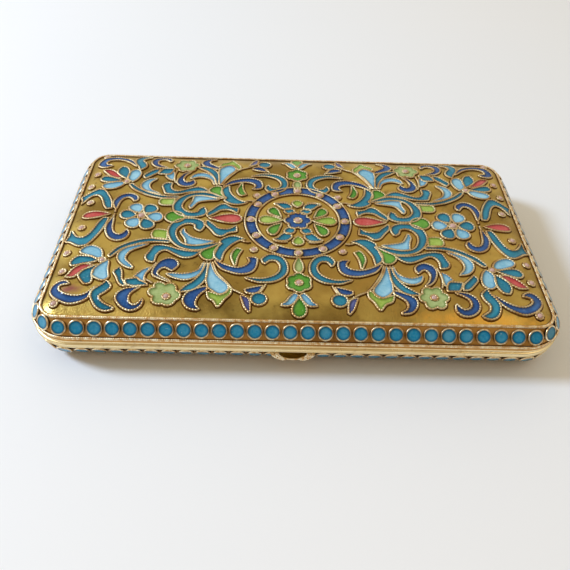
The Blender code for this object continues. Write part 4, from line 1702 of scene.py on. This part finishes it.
@dataclass
class ThumbNotch:
    """The half-round notch in the base's front edge, in a frame of twisted wire."""

    middle: float = -0.95 * MM
    half_width: float = 2.65 * MM
    drop: float = 2.0 * MM
    frame_width: float = 1.5 * MM
    lip: float = 0.3 * MM
    proud: float = 0.6 * MM
    overlap: float = 0.3 * MM
    steps: int = 40
    scroll_share: float = 0.36
    twist_radius: float = 0.36 * MM
    twist_pitch: float = 0.62 * MM
    twist_swell: float = 0.2
    twist_shares: tuple[float, float] = (0.3, 0.8)
    lip_radius: float = 0.22 * MM
    lip_pitch: float = 0.75 * MM
    lip_share: float = 0.1
    wire_samples: int = 5
    wire_proud: float = 0.15

    @property
    def front(self) -> float:
        """Y of the frame's face."""
        return BASE.section.setback - self.proud - PLAN.half_depth

    def arc(self, half_width: float, drop: float) -> list[Point]:
        """The lower half of an ellipse that hangs from the joint.

        Args:
            half_width: Half of the ellipse's width.
            drop: How far it hangs down.

        Returns:
            Points as X and Z.
        """
        top = HINGE.z - JOINT_CLEAR
        turns = [math.pi * step / self.steps for step in range(self.steps + 1)]
        return [(self.middle + half_width * math.cos(turn), top - drop * math.sin(turn)) for turn in turns]

    def cut(self, piece: Object, bezel_inset: float, frame_finish: Material,
            hollow_shade_finish: Material) -> list[Object]:
        """Adds the frame to the base and cuts the hollow, as far back as the bezel.

        Args:
            piece: The base's shell.
            bezel_inset: Inset of the bezel's outside.
            frame_finish: The frame's finish.
            hollow_shade_finish: The hollow's finish, a dark painted shade.

        Returns:
            The tools that the Booleans use.
        """
        plate = slab(self.arc(self.half_width + self.frame_width, self.drop + self.lip), self.front,
                     bezel_inset + self.overlap - PLAN.half_depth, "notch_plate", frame_finish)
        joined(piece, "UNION", plate)
        over = HINGE.z + MM
        hollow = slab(self.arc(self.half_width, self.drop) + [(self.middle - self.half_width, over),
                                                              (self.middle + self.half_width, over)],
                      self.front - MM, bezel_inset - PLAN.half_depth, "notch_hollow", hollow_shade_finish)
        joined(piece, "DIFFERENCE", hollow)
        return [plate, hollow]

    def frame_wires(self, finish: Material) -> None:
        """Lays twisted wire on both ends of the frame and a plain lip round the hollow.

        Args:
            finish: The wires' finish.
        """
        twist = WireWork(BASE, self.twist_radius, self.twist_pitch, self.twist_swell, self.wire_samples)
        lip = WireWork(BASE, self.lip_radius, self.lip_pitch, 0.0, self.wire_samples)
        for work, share in (*((twist, share) for share in self.twist_shares), (lip, self.lip_share)):
            outline = self.arc(self.half_width + self.frame_width * share, self.drop + self.lip * share)
            face = self.front - work.radius * self.wire_proud
            arc = [Vector((x, face, z)) for x, z in outline[1:-1]]
            reach = round(self.scroll_share * len(arc))
            for stretch in ((arc[:reach], arc[-reach:]) if work is twist else (arc,)):
                work.lay(stretch, False)
        twist.build("notch_twist", finish)
        lip.build("notch_lip", finish)


@dataclass
class EdgeCircles:
    """The row of turquoise enamel circles, each in a ring of wire, that runs round an edge."""

    half: Half
    prefix: str
    radius: float = 1.43 * MM
    gap: float = 0.38 * MM
    ring_wire: float = 0.18 * MM
    ring_inset: float = 0.08 * MM
    sides: int = 18
    enamel_top: float = 0.4 * MM
    enamel_inset: float = 0.22 * MM
    dip: float = 0.07 * MM
    foot: float = 0.2 * MM
    terraces: tuple[float, float] = (0.12, 0.3)
    meniscus: float = 0.25 * MM
    shade_width: float = 0.6 * MM
    unevenness: float = 0.03
    ring_steps: int = 24
    ring_lift: float = 0.05 * MM
    ring_pitch: float = 0.4 * MM
    ring_swell: float = 0.07
    upward: float = 0.9

    def frames(self) -> list[Matrix]:
        """The place of each circle, with Z along its normal.

        Returns:
            A matrix for each circle.
        """
        start_deg = self.half.section.bed_start_deg
        bed = [self.half.section.edge_point(degrees) for degrees in (start_deg, start_deg + BED_SWEEP_DEG)]
        middle = (bed[0][0] + bed[1][0]) / 2
        around = sum(PLAN.legs(middle))
        count = 2 * round(around / (2 * self.radius + self.gap) / 2)
        places = []
        for index in range(count):
            station, way = PLAN.walk(middle, around * (index + 0.5) / count)
            low, high = (self.half.point(*PLAN.at(station, inset), height) for inset, height in bed)
            along = Vector((-math.sin(way), math.cos(way), 0))
            outward = along.cross(high - low).normalized() * self.half.side.value
            turned = Matrix((along, outward.cross(along), outward)).transposed().to_4x4()
            places.append(Matrix.Translation((low + high) / 2) @ turned)
        return places

    def disc(self) -> Mesh:
        """One circle's enamel: a short round block whose top sinks a little.

        Returns:
            Its mesh.
        """
        bm = bmesh.new()
        middle = bm.verts.layers.float.new("middle")
        depth = self.enamel_top + self.foot
        reach = self.radius - self.enamel_inset
        bmesh.ops.create_cone(bm, cap_ends=True, segments=self.sides, radius1=reach, radius2=reach,
                              depth=depth, matrix=Matrix.Translation((0, 0, self.enamel_top - depth / 2)))
        top = [face for face in bm.faces if face.normal.z > self.upward]
        for share in self.terraces:
            bmesh.ops.inset_individual(bm, faces=top, thickness=reach * share)
        bmesh.ops.poke(bm, faces=top)
        for vert in bm.verts:
            way_in = reach - vert.co.xy.length
            if vert.co.z > 0:
                vert.co.z -= self.dip * (1 - math.exp(-way_in / self.meniscus))
            # The way in from the rim, which the glaze turns into a deeper tone at the circle's edge, partly
            # painted shade.
            vert[middle] = min(1.0, way_in / self.shade_width)
        mesh = bpy.data.meshes.new("circle")
        bm.to_mesh(mesh)
        bm.free()
        return mesh

    def build(self, enamel: Material, wire: Material, chance: random.Random,
              left_out: Callable[[Vector], bool] = lambda place: False) -> None:
        """Makes the circles and their rings, but for the places that are left out.

        Args:
            enamel: The circles' finish.
            wire: The rings' finish.
            chance: The source of tones and sizes.
            left_out: Says whether a place stays empty.
        """
        template = self.disc()
        bm = bmesh.new()
        rings = WireWork(self.half, self.ring_wire, self.ring_pitch, self.ring_swell, 1)
        tones = []
        for place in self.frames():
            tone = chance.random()
            wobble = 1 + chance.uniform(-self.unevenness, self.unevenness)
            if left_out(place.translation):
                continue
            known = len(bm.verts)
            bm.from_mesh(template)
            bm.verts.ensure_lookup_table()
            bmesh.ops.transform(bm, matrix=place @ Matrix.Diagonal((wobble, wobble, 1, 1)),
                                verts=bm.verts[known:])
            tones.append((known, tone))
            reach = (self.radius - self.ring_inset) * wobble
            lift = RELIEF - self.ring_wire + self.ring_lift
            turns = (2 * math.pi * step / self.ring_steps for step in range(self.ring_steps))
            rings.lay([place @ Vector((reach * math.cos(turn), reach * math.sin(turn), lift))
                       for turn in turns], True)
        layer = bm.verts.layers.float.new("tone")
        bm.verts.ensure_lookup_table()
        for (start, tone), (end, _) in zip(tones, tones[1:] + [(len(bm.verts), 0)]):
            for vert in bm.verts[start:end]:
                vert[layer] = tone
        bpy.data.meshes.remove(template)
        settle(finished(bm, f"{self.prefix}_circles", [enamel]), self.half)
        rings.build(f"{self.prefix}_circle_rings", wire)


@dataclass
class Ornament:
    """Scrollwork laid on a panel: cells of enamel between wires, and beads."""

    half: Half
    prefix: str
    shift: float
    straying: bool
    spacing: float = 0.28
    wire: float = 0.2 * MM
    bead_pitch: float = 0.56 * MM
    bead_swell: float = 0.3
    # The solder strip under each wire, wider than the wire, whose dark tone also paints the shade beside it.
    foot: float = 0.42 * MM
    foot_flatness: float = 0.22
    wall_share: float = 0.8
    flood: float = 0.1
    bead_lift: float = 0.12 * MM
    bead_flatness: float = 0.62
    collar_gap: float = 0.1
    collar_spacing: float = 0.2
    ring_outer: float = 11.2
    ring_inner: float = 8.85
    ring_beads: float = 9.95
    ring_gap: float = 0.2
    ring_parts: int = 12
    bead_room_deg: float = 5.2
    plain_room_deg: float = 1.2
    drawing_length: float = 48.0
    drawing_depth: float = 26.8
    chance: random.Random = field(default_factory=lambda: random.Random(SEED))
    enamels: dict[Enamel, EnamelWork] = field(default_factory=dict)
    wires: dict[str, WireWork] = field(default_factory=dict)
    feet: dict[str, WireWork] = field(default_factory=dict)
    beads: list[tuple[Vector, float]] = field(default_factory=list)

    def placed(self, outline: list[Point], side_x: int, side_y: int) -> list[Point]:
        """A drawing on one quarter of the panel, fitted between the shifted centre and the rope.

        Args:
            outline: Points of the drawing, in millimetres.
            side_x: 1 for the right half, -1 for its mirror image on the left.
            side_y: 1 for the back, -1 for the front.

        Returns:
            Points on the panel, in metres.
        """
        rope = self.half.section.rope_inset
        reach_x = (PLAN.half_length - rope) / self.drawing_length
        reach_y = (PLAN.half_depth - rope - side_y * self.shift) / self.drawing_depth
        drawn = [(side_x * x, -side_y * y) for x, y in outline]
        if self.straying and side_x < 0:
            drawn = [strayed(x, y) for x, y in drawn]
        return [(x * reach_x, y * reach_y + self.shift) for x, y in drawn]

    def run(self, points: list[Point], part: str, closed: bool) -> None:
        """Lays wire along a path of the plan, half sunk, with a strip of browned solder at its foot whose
        dark tone also paints the shade beside the wire.

        Args:
            points: The path on the panel, in metres.
            part: The piece that the wire belongs to.
            closed: Whether it returns to its start.
        """
        if part not in self.wires:
            self.wires[part] = WireWork(self.half, self.wire, self.bead_pitch, self.bead_swell, 4)
            self.feet[part] = WireWork(self.half, self.foot, self.bead_pitch, 0.0, 1)
        lift = RELIEF - self.wire
        self.wires[part].lay([self.half.on_panel(x, y, lift) for x, y in points], closed)
        self.feet[part].lay([self.half.on_panel(x, y, 0) for x, y in points], closed)

    def fill(self, enamel: Enamel, outline: list[Point]) -> None:
        """Fills an outline on the panel, in metres.

        Args:
            enamel: What fills it.
            outline: Its wall.
        """
        tone = self.chance.random()
        if enamel not in self.enamels:
            self.enamels[enamel] = EnamelWork(self.half)
        self.enamels[enamel].fill(outline, tone)

    def cell(self, enamel: Enamel, shape: Shape, side_x: int, side_y: int, part: str) -> None:
        """Fills one cell and lays the wire round it.

        Args:
            enamel: What fills it.
            shape: Its shape in the drawing.
            side_x: 1 for the right half, -1 for its mirror image on the left.
            side_y: 1 for the back, -1 for the front.
            part: The piece that the wire belongs to.
        """
        path = shape.path(self.spacing)
        self.fill(enamel, self.placed(widened(path, self.flood), side_x, side_y))
        wall = widened(path, self.wire / MM * self.wall_share)
        self.run(self.placed(wall, side_x, side_y), part, True)

    def bead(self, place: Point, radius: float, part: str) -> None:
        """Sets a bead of enamel in a collar of wire.

        Args:
            place: Its x and y on the panel, in metres.
            radius: Its radius.
            part: The piece that the collar belongs to.
        """
        self.beads.append((self.half.on_panel(*place, self.bead_lift), radius))
        reach = radius / MM + self.collar_gap
        collar = Round((place[0] / MM, place[1] / MM), reach, reach).path(self.collar_spacing)
        self.run([(x * MM, y * MM) for x, y in collar], part, True)

    def drawn_bead(self, point: Point, side_x: int, side_y: int, radius: float, part: str) -> None:
        """Sets a bead at a point of the drawing."""
        self.bead(self.placed([point], side_x, side_y)[0], radius, part)

    def centred(self, shape: Shape) -> list[Point]:
        """A shape round the medallion's centre, in metres on the panel."""
        return [(x * MM, y * MM + self.shift) for x, y in shape.path(self.spacing)]

    def medallion(self, beaded: bool) -> None:
        """The blue ring between two wires, with or without its beads.

        Args:
            beaded: Whether it has them.
        """
        sweep = 360 // self.ring_parts
        room = self.bead_room_deg if beaded else self.plain_room_deg
        for step in range(self.ring_parts):
            start = sweep * step
            self.fill(ROYAL, self.centred(Sector(self.ring_inner + self.ring_gap,
                                                 self.ring_outer - self.ring_gap,
                                                 start + room, start + sweep - room)))
            if beaded:
                way, reach = math.radians(start), self.ring_beads * MM
                place = (reach * math.cos(way), reach * math.sin(way) + self.shift)
                self.bead(place, RING_BEAD, "medallion")
        for radius in (self.ring_outer, self.ring_inner):
            self.run(self.centred(Round((0, 0), radius, radius)), "medallion", True)

    def build(self, finishes: Dressings) -> None:
        """Makes the pieces from all that was laid.

        Args:
            finishes: Every finish.
        """
        for enamel, work in self.enamels.items():
            work.build(f"{self.prefix}_{enamel.value}_enamel", finishes.enamels[enamel])
        for part, work in self.wires.items():
            work.build(f"{self.prefix}_{part}_wires", finishes.wire)
        # Solder strips, which also paint the shade beside the wires.
        for part, work in self.feet.items():
            work.build(f"{self.prefix}_{part}_solder", finishes.solder_and_shade, self.foot_flatness, 4)
        if not self.beads:
            return
        bm = bmesh.new()
        for place, radius in self.beads:
            matrix = Matrix.Translation(place) @ Matrix.Diagonal((1, 1, self.bead_flatness, 1))
            bmesh.ops.create_uvsphere(bm, u_segments=14, v_segments=8, radius=radius, matrix=matrix)
        settle(finished(bm, f"{self.prefix}_beads", [finishes.pearl]), self.half)


@dataclass
class Dressings:
    """Every finish, built once."""

    ground: Material = field(default_factory=GROUND.dress)
    plate: Material = field(default_factory=PLATE.dress)
    wire: Material = field(default_factory=INNER_WIRE.dress)
    edge_wire: Material = field(default_factory=EDGE_WIRE.dress)
    pin: Material = field(default_factory=PIN_WIRE.dress)
    solder_and_shade: Material = field(default_factory=SOLDER_AND_SHADE.dress)
    browned: Material = field(default_factory=BROWNED.dress)
    # The thumb notch's inside: a dark painted shade.
    hollow: Material = field(default_factory=HOLLOW_SHADE.dress)
    pearl: Material = field(default_factory=lambda: PEARL.dress("pearl_enamel"))
    enamels: dict[Enamel, Material] = field(default_factory=lambda: {
        enamel: glaze.dress(f"{enamel.value}_enamel") for enamel, glaze in GLAZES.items()})

    def skins(self) -> list[Material]:
        """A shell's finishes in the order of its skins."""
        return [self.ground, self.plate, self.browned]


@dataclass
class CaseHalf:
    """What both halves have: a shell, its ropes and a row of circles."""

    half: Half
    shell: Shell
    hinge: Hinge
    finishes: Dressings
    rope: float = 0.28 * MM
    rope_pitch: float = 0.42 * MM
    rope_swell: float = 0.3
    rope_step: float = 0.8 * MM

    def ropes(self) -> None:
        """Lays the ropes over and under the circles."""
        for name, degrees in zip(("lower", "upper")[-len(self.half.section.rope_degs):],
                                 self.half.section.rope_degs):
            profile = self.half.section.edge_point(degrees, self.rope / 2)
            around = sum(PLAN.legs(profile[0]))
            steps = round(around / self.rope_step)
            work = WireWork(self.half, self.rope, self.rope_pitch, self.rope_swell)
            work.lay([self.half.on_edge(around * step / steps, profile) for step in range(steps)], True)
            work.build(f"{self.shell.name}_{name}_rope", self.finishes.edge_wire)


@dataclass
class LidHalf(CaseHalf):
    """The lid, with all of its ornament."""

    def build(self) -> None:
        """Makes the lid's pieces."""
        section, shell = self.half.section, self.shell
        profile = shell.outside()[::-1] + shell.rim()[::-1]
        profile.append(((section.setback + WALL, JOINT_CLEAR), Skin.POLISHED))
        profile += [(point, Skin.POLISHED) for point in shell.inside(0)]
        piece = finished(shell.lofted(profile), shell.name, self.finishes.skins())
        cutters, knuckles = self.hinge.fit(piece, 1, self.finishes.plate)
        complete(piece, cutters, knuckles, self.half, "lid")
        self.ropes()
        EdgeCircles(self.half, "lid").build(self.finishes.enamels[TURQUOISE], self.finishes.edge_wire,
                                            random.Random(SEED))
        ornament = Ornament(self.half, "lid", ORNAMENT_SHIFT, True)
        for side_y, part in ((-1, "front"), (1, "back")):
            for side_x in (1, -1):
                for enamel, shape in QUARTER_CELLS:
                    ornament.cell(enamel, shape, side_x, side_y, part)
                for wire in QUARTER_WIRES:
                    path = smooth_run(list(wire), ornament.spacing) + [wire[-1]]
                    ornament.run(ornament.placed(path, side_x, side_y), part, False)
                for point in QUARTER_BEADS:
                    ornament.drawn_bead(point, side_x, side_y, QUARTER_BEAD, part)
            for enamel, shape in short_axis_cells():
                ornament.cell(enamel, shape, 1, side_y, "axis")
            ornament.drawn_bead(SHORT_AXIS_FLOWER, 1, side_y, SHORT_AXIS_BEAD, "axis")
        for side_x in (1, -1):
            for enamel, shape in long_axis_cells():
                ornament.cell(enamel, shape, side_x, -1, "axis")
            ornament.drawn_bead(LONG_AXIS_FLOWER, side_x, -1, LONG_AXIS_BEAD, "axis")
        ornament.cell(ROYAL, Rosette((0, 0), 6, 2.7, 2.0), 1, -1, "axis")
        ornament.bead((0.0, ornament.shift), MIDDLE_BEAD, "medallion")
        ornament.medallion(True)
        ornament.build(self.finishes)


@dataclass
class BaseHalf(CaseHalf):
    """The base, with its bezel, thumb notch and plainer underside."""

    notch: ThumbNotch = field(default_factory=ThumbNotch)
    ledge: float = 0.3 * MM
    ledge_height: float = 0.25 * MM
    circle_overlap: float = 0.9 * MM
    back_share: float = 0.8

    def build(self) -> None:
        """Makes the base's pieces."""
        section, shell = self.half.section, self.shell
        outer = LID.section.setback + WALL + shell.bezel_gap
        inner = outer + shell.bezel_thickness
        edge = section.setback - self.ledge
        profile = shell.outside()[::-1]
        profile += [(point, Skin.POLISHED) for point in (
            (edge, JOINT_CLEAR + self.ledge_height), (edge, JOINT_CLEAR), (outer, JOINT_CLEAR),
            (outer, -shell.bezel_height), (inner, -shell.bezel_height))]
        reach = (section.setback + section.edge_radius - inner) / (section.edge_radius - WALL)
        start = math.degrees(math.acos(reach))
        profile += [(point, Skin.POLISHED) for point in shell.inside(start)]
        piece = finished(shell.lofted(profile), shell.name, self.finishes.skins())
        tools = self.notch.cut(piece, outer, self.finishes.plate, self.finishes.hollow)
        cutters, knuckles = self.hinge.fit(piece, 0, self.finishes.plate)
        complete(piece, tools + cutters, knuckles, self.half, "base")
        self.notch.frame_wires(self.finishes.edge_wire)
        self.ropes()
        clear = self.notch.half_width + self.notch.frame_width - self.circle_overlap
        EdgeCircles(self.half, "base").build(
            self.finishes.enamels[TURQUOISE], self.finishes.edge_wire, random.Random(SEED + 1),
            lambda place: (place.y < 0 and abs(place.x - self.notch.middle) < clear
                           or place.y > self.back_share * PLAN.half_depth
                           and abs(place.x) < self.hinge.length / 2))
        self.underside()

    def underside(self) -> None:
        """Lays the plainer ornament that the case rests on."""
        ornament = Ornament(self.half, "base", 0.0, False)
        for side_x in (1, -1):
            for side_y in (1, -1):
                for enamel, shape in underside_quarter():
                    ornament.cell(enamel, shape, side_x, side_y, "underside")
        ornament.cell(ROYAL, Rosette((0, 0), 6, 3.0, 2.1), 1, -1, "underside")
        ornament.medallion(False)
        ornament.build(self.finishes)


def complete(piece: Object, tools: list[Object], knuckles: list[Object],
             half: Half, node_name: str) -> None:
    """Bakes a shell's cuts, joins its knuckles to it and puts it in place of its solid.

    Args:
        piece: The shell.
        tools: The other objects that the modifiers use.
        knuckles: Its knuckles.
        half: The half of the case that it belongs to.
        node_name: The name of its solid.
    """
    bake_modifiers(piece, tools)
    bm = bmesh.new()
    bm.from_mesh(piece.data)
    for knuckle in knuckles:
        known = len(bm.faces)
        bm.from_mesh(knuckle.data)
        bm.faces.ensure_lookup_table()
        for face in bm.faces[known:]:
            face.material_index = Skin.POLISHED.value
        bpy.data.objects.remove(knuckle)
    bm.to_mesh(piece.data)
    bm.free()
    smooth(piece)
    settle(piece, half)
    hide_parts(node_name)


@dataclass(frozen=True)
class Glow:
    """A soft patch of light on the studio's walls or ceiling."""

    toward: Point3
    core_deg: float
    reach_deg: float
    colour: Colour


@dataclass(frozen=True)
class Studio:
    """The pale table, the light and the camera of the photograph."""

    sensor_width: float = 36.0
    frame_pixels: float = 570.0
    focal_pixels: float = 587.17
    yaw: float = 0.030507
    pitch: float = 0.819
    roll: float = 0.045799
    unit: float = 11.29 * MM
    offset: Point3 = (0.24257, -1.21041, 11.01572)
    aim_drop: float = 0.15 * MM
    table_size: float = 3.0
    table_clouds: Mottling = Mottling(4.0, 0.3, 0.7, 3.0)
    table_colours: tuple[Colour, Colour] = (srgb(236, 238, 242), srgb(240, 240, 242))
    table_roughness: float = 0.7
    near: Colour = (0.28, 0.23, 0.16)
    far: Colour = (0.84, 0.74, 0.56)
    bright_way: Point3 = (-0.35, 0.85, 0.4)
    bright_spread: float = 0.75
    glows: tuple[Glow, ...] = (
        Glow((-0.1, 0.15, 1.0), 6.0, 26.0, (0.26, 0.22, 0.15)),
        Glow((0.75, -0.05, 1.0), 6.0, 26.0, (1.3, 1.12, 0.84)),
    )
    window_way: Point3 = (-1.25, 0.14, 1.0)
    window_distance: float = 0.7
    window_width: float = 0.16
    window_power: float = 3.5
    window_colour: Colour = (0.76, 0.95, 1.22)

    def camera(self) -> None:
        """Stands the camera where the photograph was taken from."""
        cy, sy = math.cos(self.yaw), math.sin(self.yaw)
        cp, sp = math.cos(self.pitch), math.sin(self.pitch)
        cr, sr = math.cos(self.roll), math.sin(self.roll)
        turn = (Matrix(((cr, -sr, 0), (sr, cr, 0), (0, 0, 1)))
                @ Matrix(((1, 0, 0), (0, -sp, -cp), (0, cp, -sp)))
                @ Matrix(((cy, -sy, 0), (sy, cy, 0), (0, 0, 1))))
        target = Vector((0, ORNAMENT_SHIFT, LID_HIGH.z - self.aim_drop))
        place = target - turn.transposed() @ Vector(self.offset) * self.unit
        right, down, forward = turn
        axes = Matrix((right, -down, -forward)).transposed()
        lens = bpy.data.cameras.new("camera")
        lens.sensor_width = self.sensor_width
        lens.lens = self.focal_pixels / self.frame_pixels * lens.sensor_width
        lens.clip_start = MM
        eye = bpy.data.objects.new("camera", lens)
        eye.matrix_world = Matrix.Translation(place) @ axes.to_4x4()
        bpy.context.scene.collection.objects.link(eye)
        bpy.context.scene.camera = eye

    def table(self) -> None:
        """Lays the pale table top."""
        bm = bmesh.new()
        bmesh.ops.create_grid(bm, x_segments=1, y_segments=1, size=self.table_size)
        made, tree, shader = blank("pale_table")
        shade = mixed(tree, self.table_clouds.mask(tree), *self.table_colours)
        tree.links.new(shade, shader.inputs["Base Color"])
        shader.inputs["Roughness"].default_value = self.table_roughness
        top = finished(bm, "table", [made])

    def light(self) -> None:
        """Soft daylight from the upper left and behind, with a paler light from above."""
        world = bpy.data.worlds.new("room")
        world.use_nodes = True
        tree = world.node_tree
        way = node(tree, "ShaderNodeTexCoord").outputs["Generated"]
        behind = node(tree, "ShaderNodeVectorMath", {0: way, 1: self.bright_way}, operation="DOT_PRODUCT")
        share = scaled(tree, behind.outputs["Value"], -self.bright_spread, self.bright_spread, 0.0, 1.0)
        colour = mixed(tree, share, self.near, self.far)
        for glow in self.glows:
            toward = Vector(glow.toward).normalized()
            nearness = node(tree, "ShaderNodeVectorMath", {0: way, 1: toward}, operation="DOT_PRODUCT")
            edge = math.cos(math.radians(glow.reach_deg))
            core = math.cos(math.radians(glow.core_deg))
            share = node(tree, "ShaderNodeMapRange", {"Value": nearness.outputs["Value"], "From Min": edge,
                                                      "From Max": core}, interpolation_type="SMOOTHSTEP")
            colour = mixed(tree, share.outputs["Result"], colour, glow.colour)
        back = tree.nodes["Background"]
        tree.links.new(colour, back.inputs["Color"])
        bpy.context.scene.world = world
        lamp = bpy.data.lights.new("window", "AREA")
        lamp.shape = "DISK"
        lamp.size = self.window_width
        lamp.energy = self.window_power
        lamp.color = self.window_colour
        window = bpy.data.objects.new("window", lamp)
        window.location = Vector(self.window_way).normalized() * self.window_distance
        window.rotation_euler = Vector(self.window_way).to_track_quat("Z", "Y").to_euler()
        bpy.context.scene.collection.objects.link(window)


def main() -> None:
    """Builds the case and the studio, and reports each piece."""
    logging.basicConfig(level=logging.INFO, format="%(message)s")
    bpy.context.scene.view_settings.view_transform = "Standard"
    finishes = Dressings()
    hinge = Hinge()
    LidHalf(LID, Shell(LID, "lid_shell"), hinge, finishes).build()
    BaseHalf(BASE, Shell(BASE, "base_shell"), hinge, finishes).build()
    pin = frame["nodes"]["hinge_pin"]
    for slot in pin.material_slots:
        slot.material = finishes.pin
    studio = Studio()
    studio.camera()
    studio.table()
    studio.light()


if __name__ == "__main__":
    main()
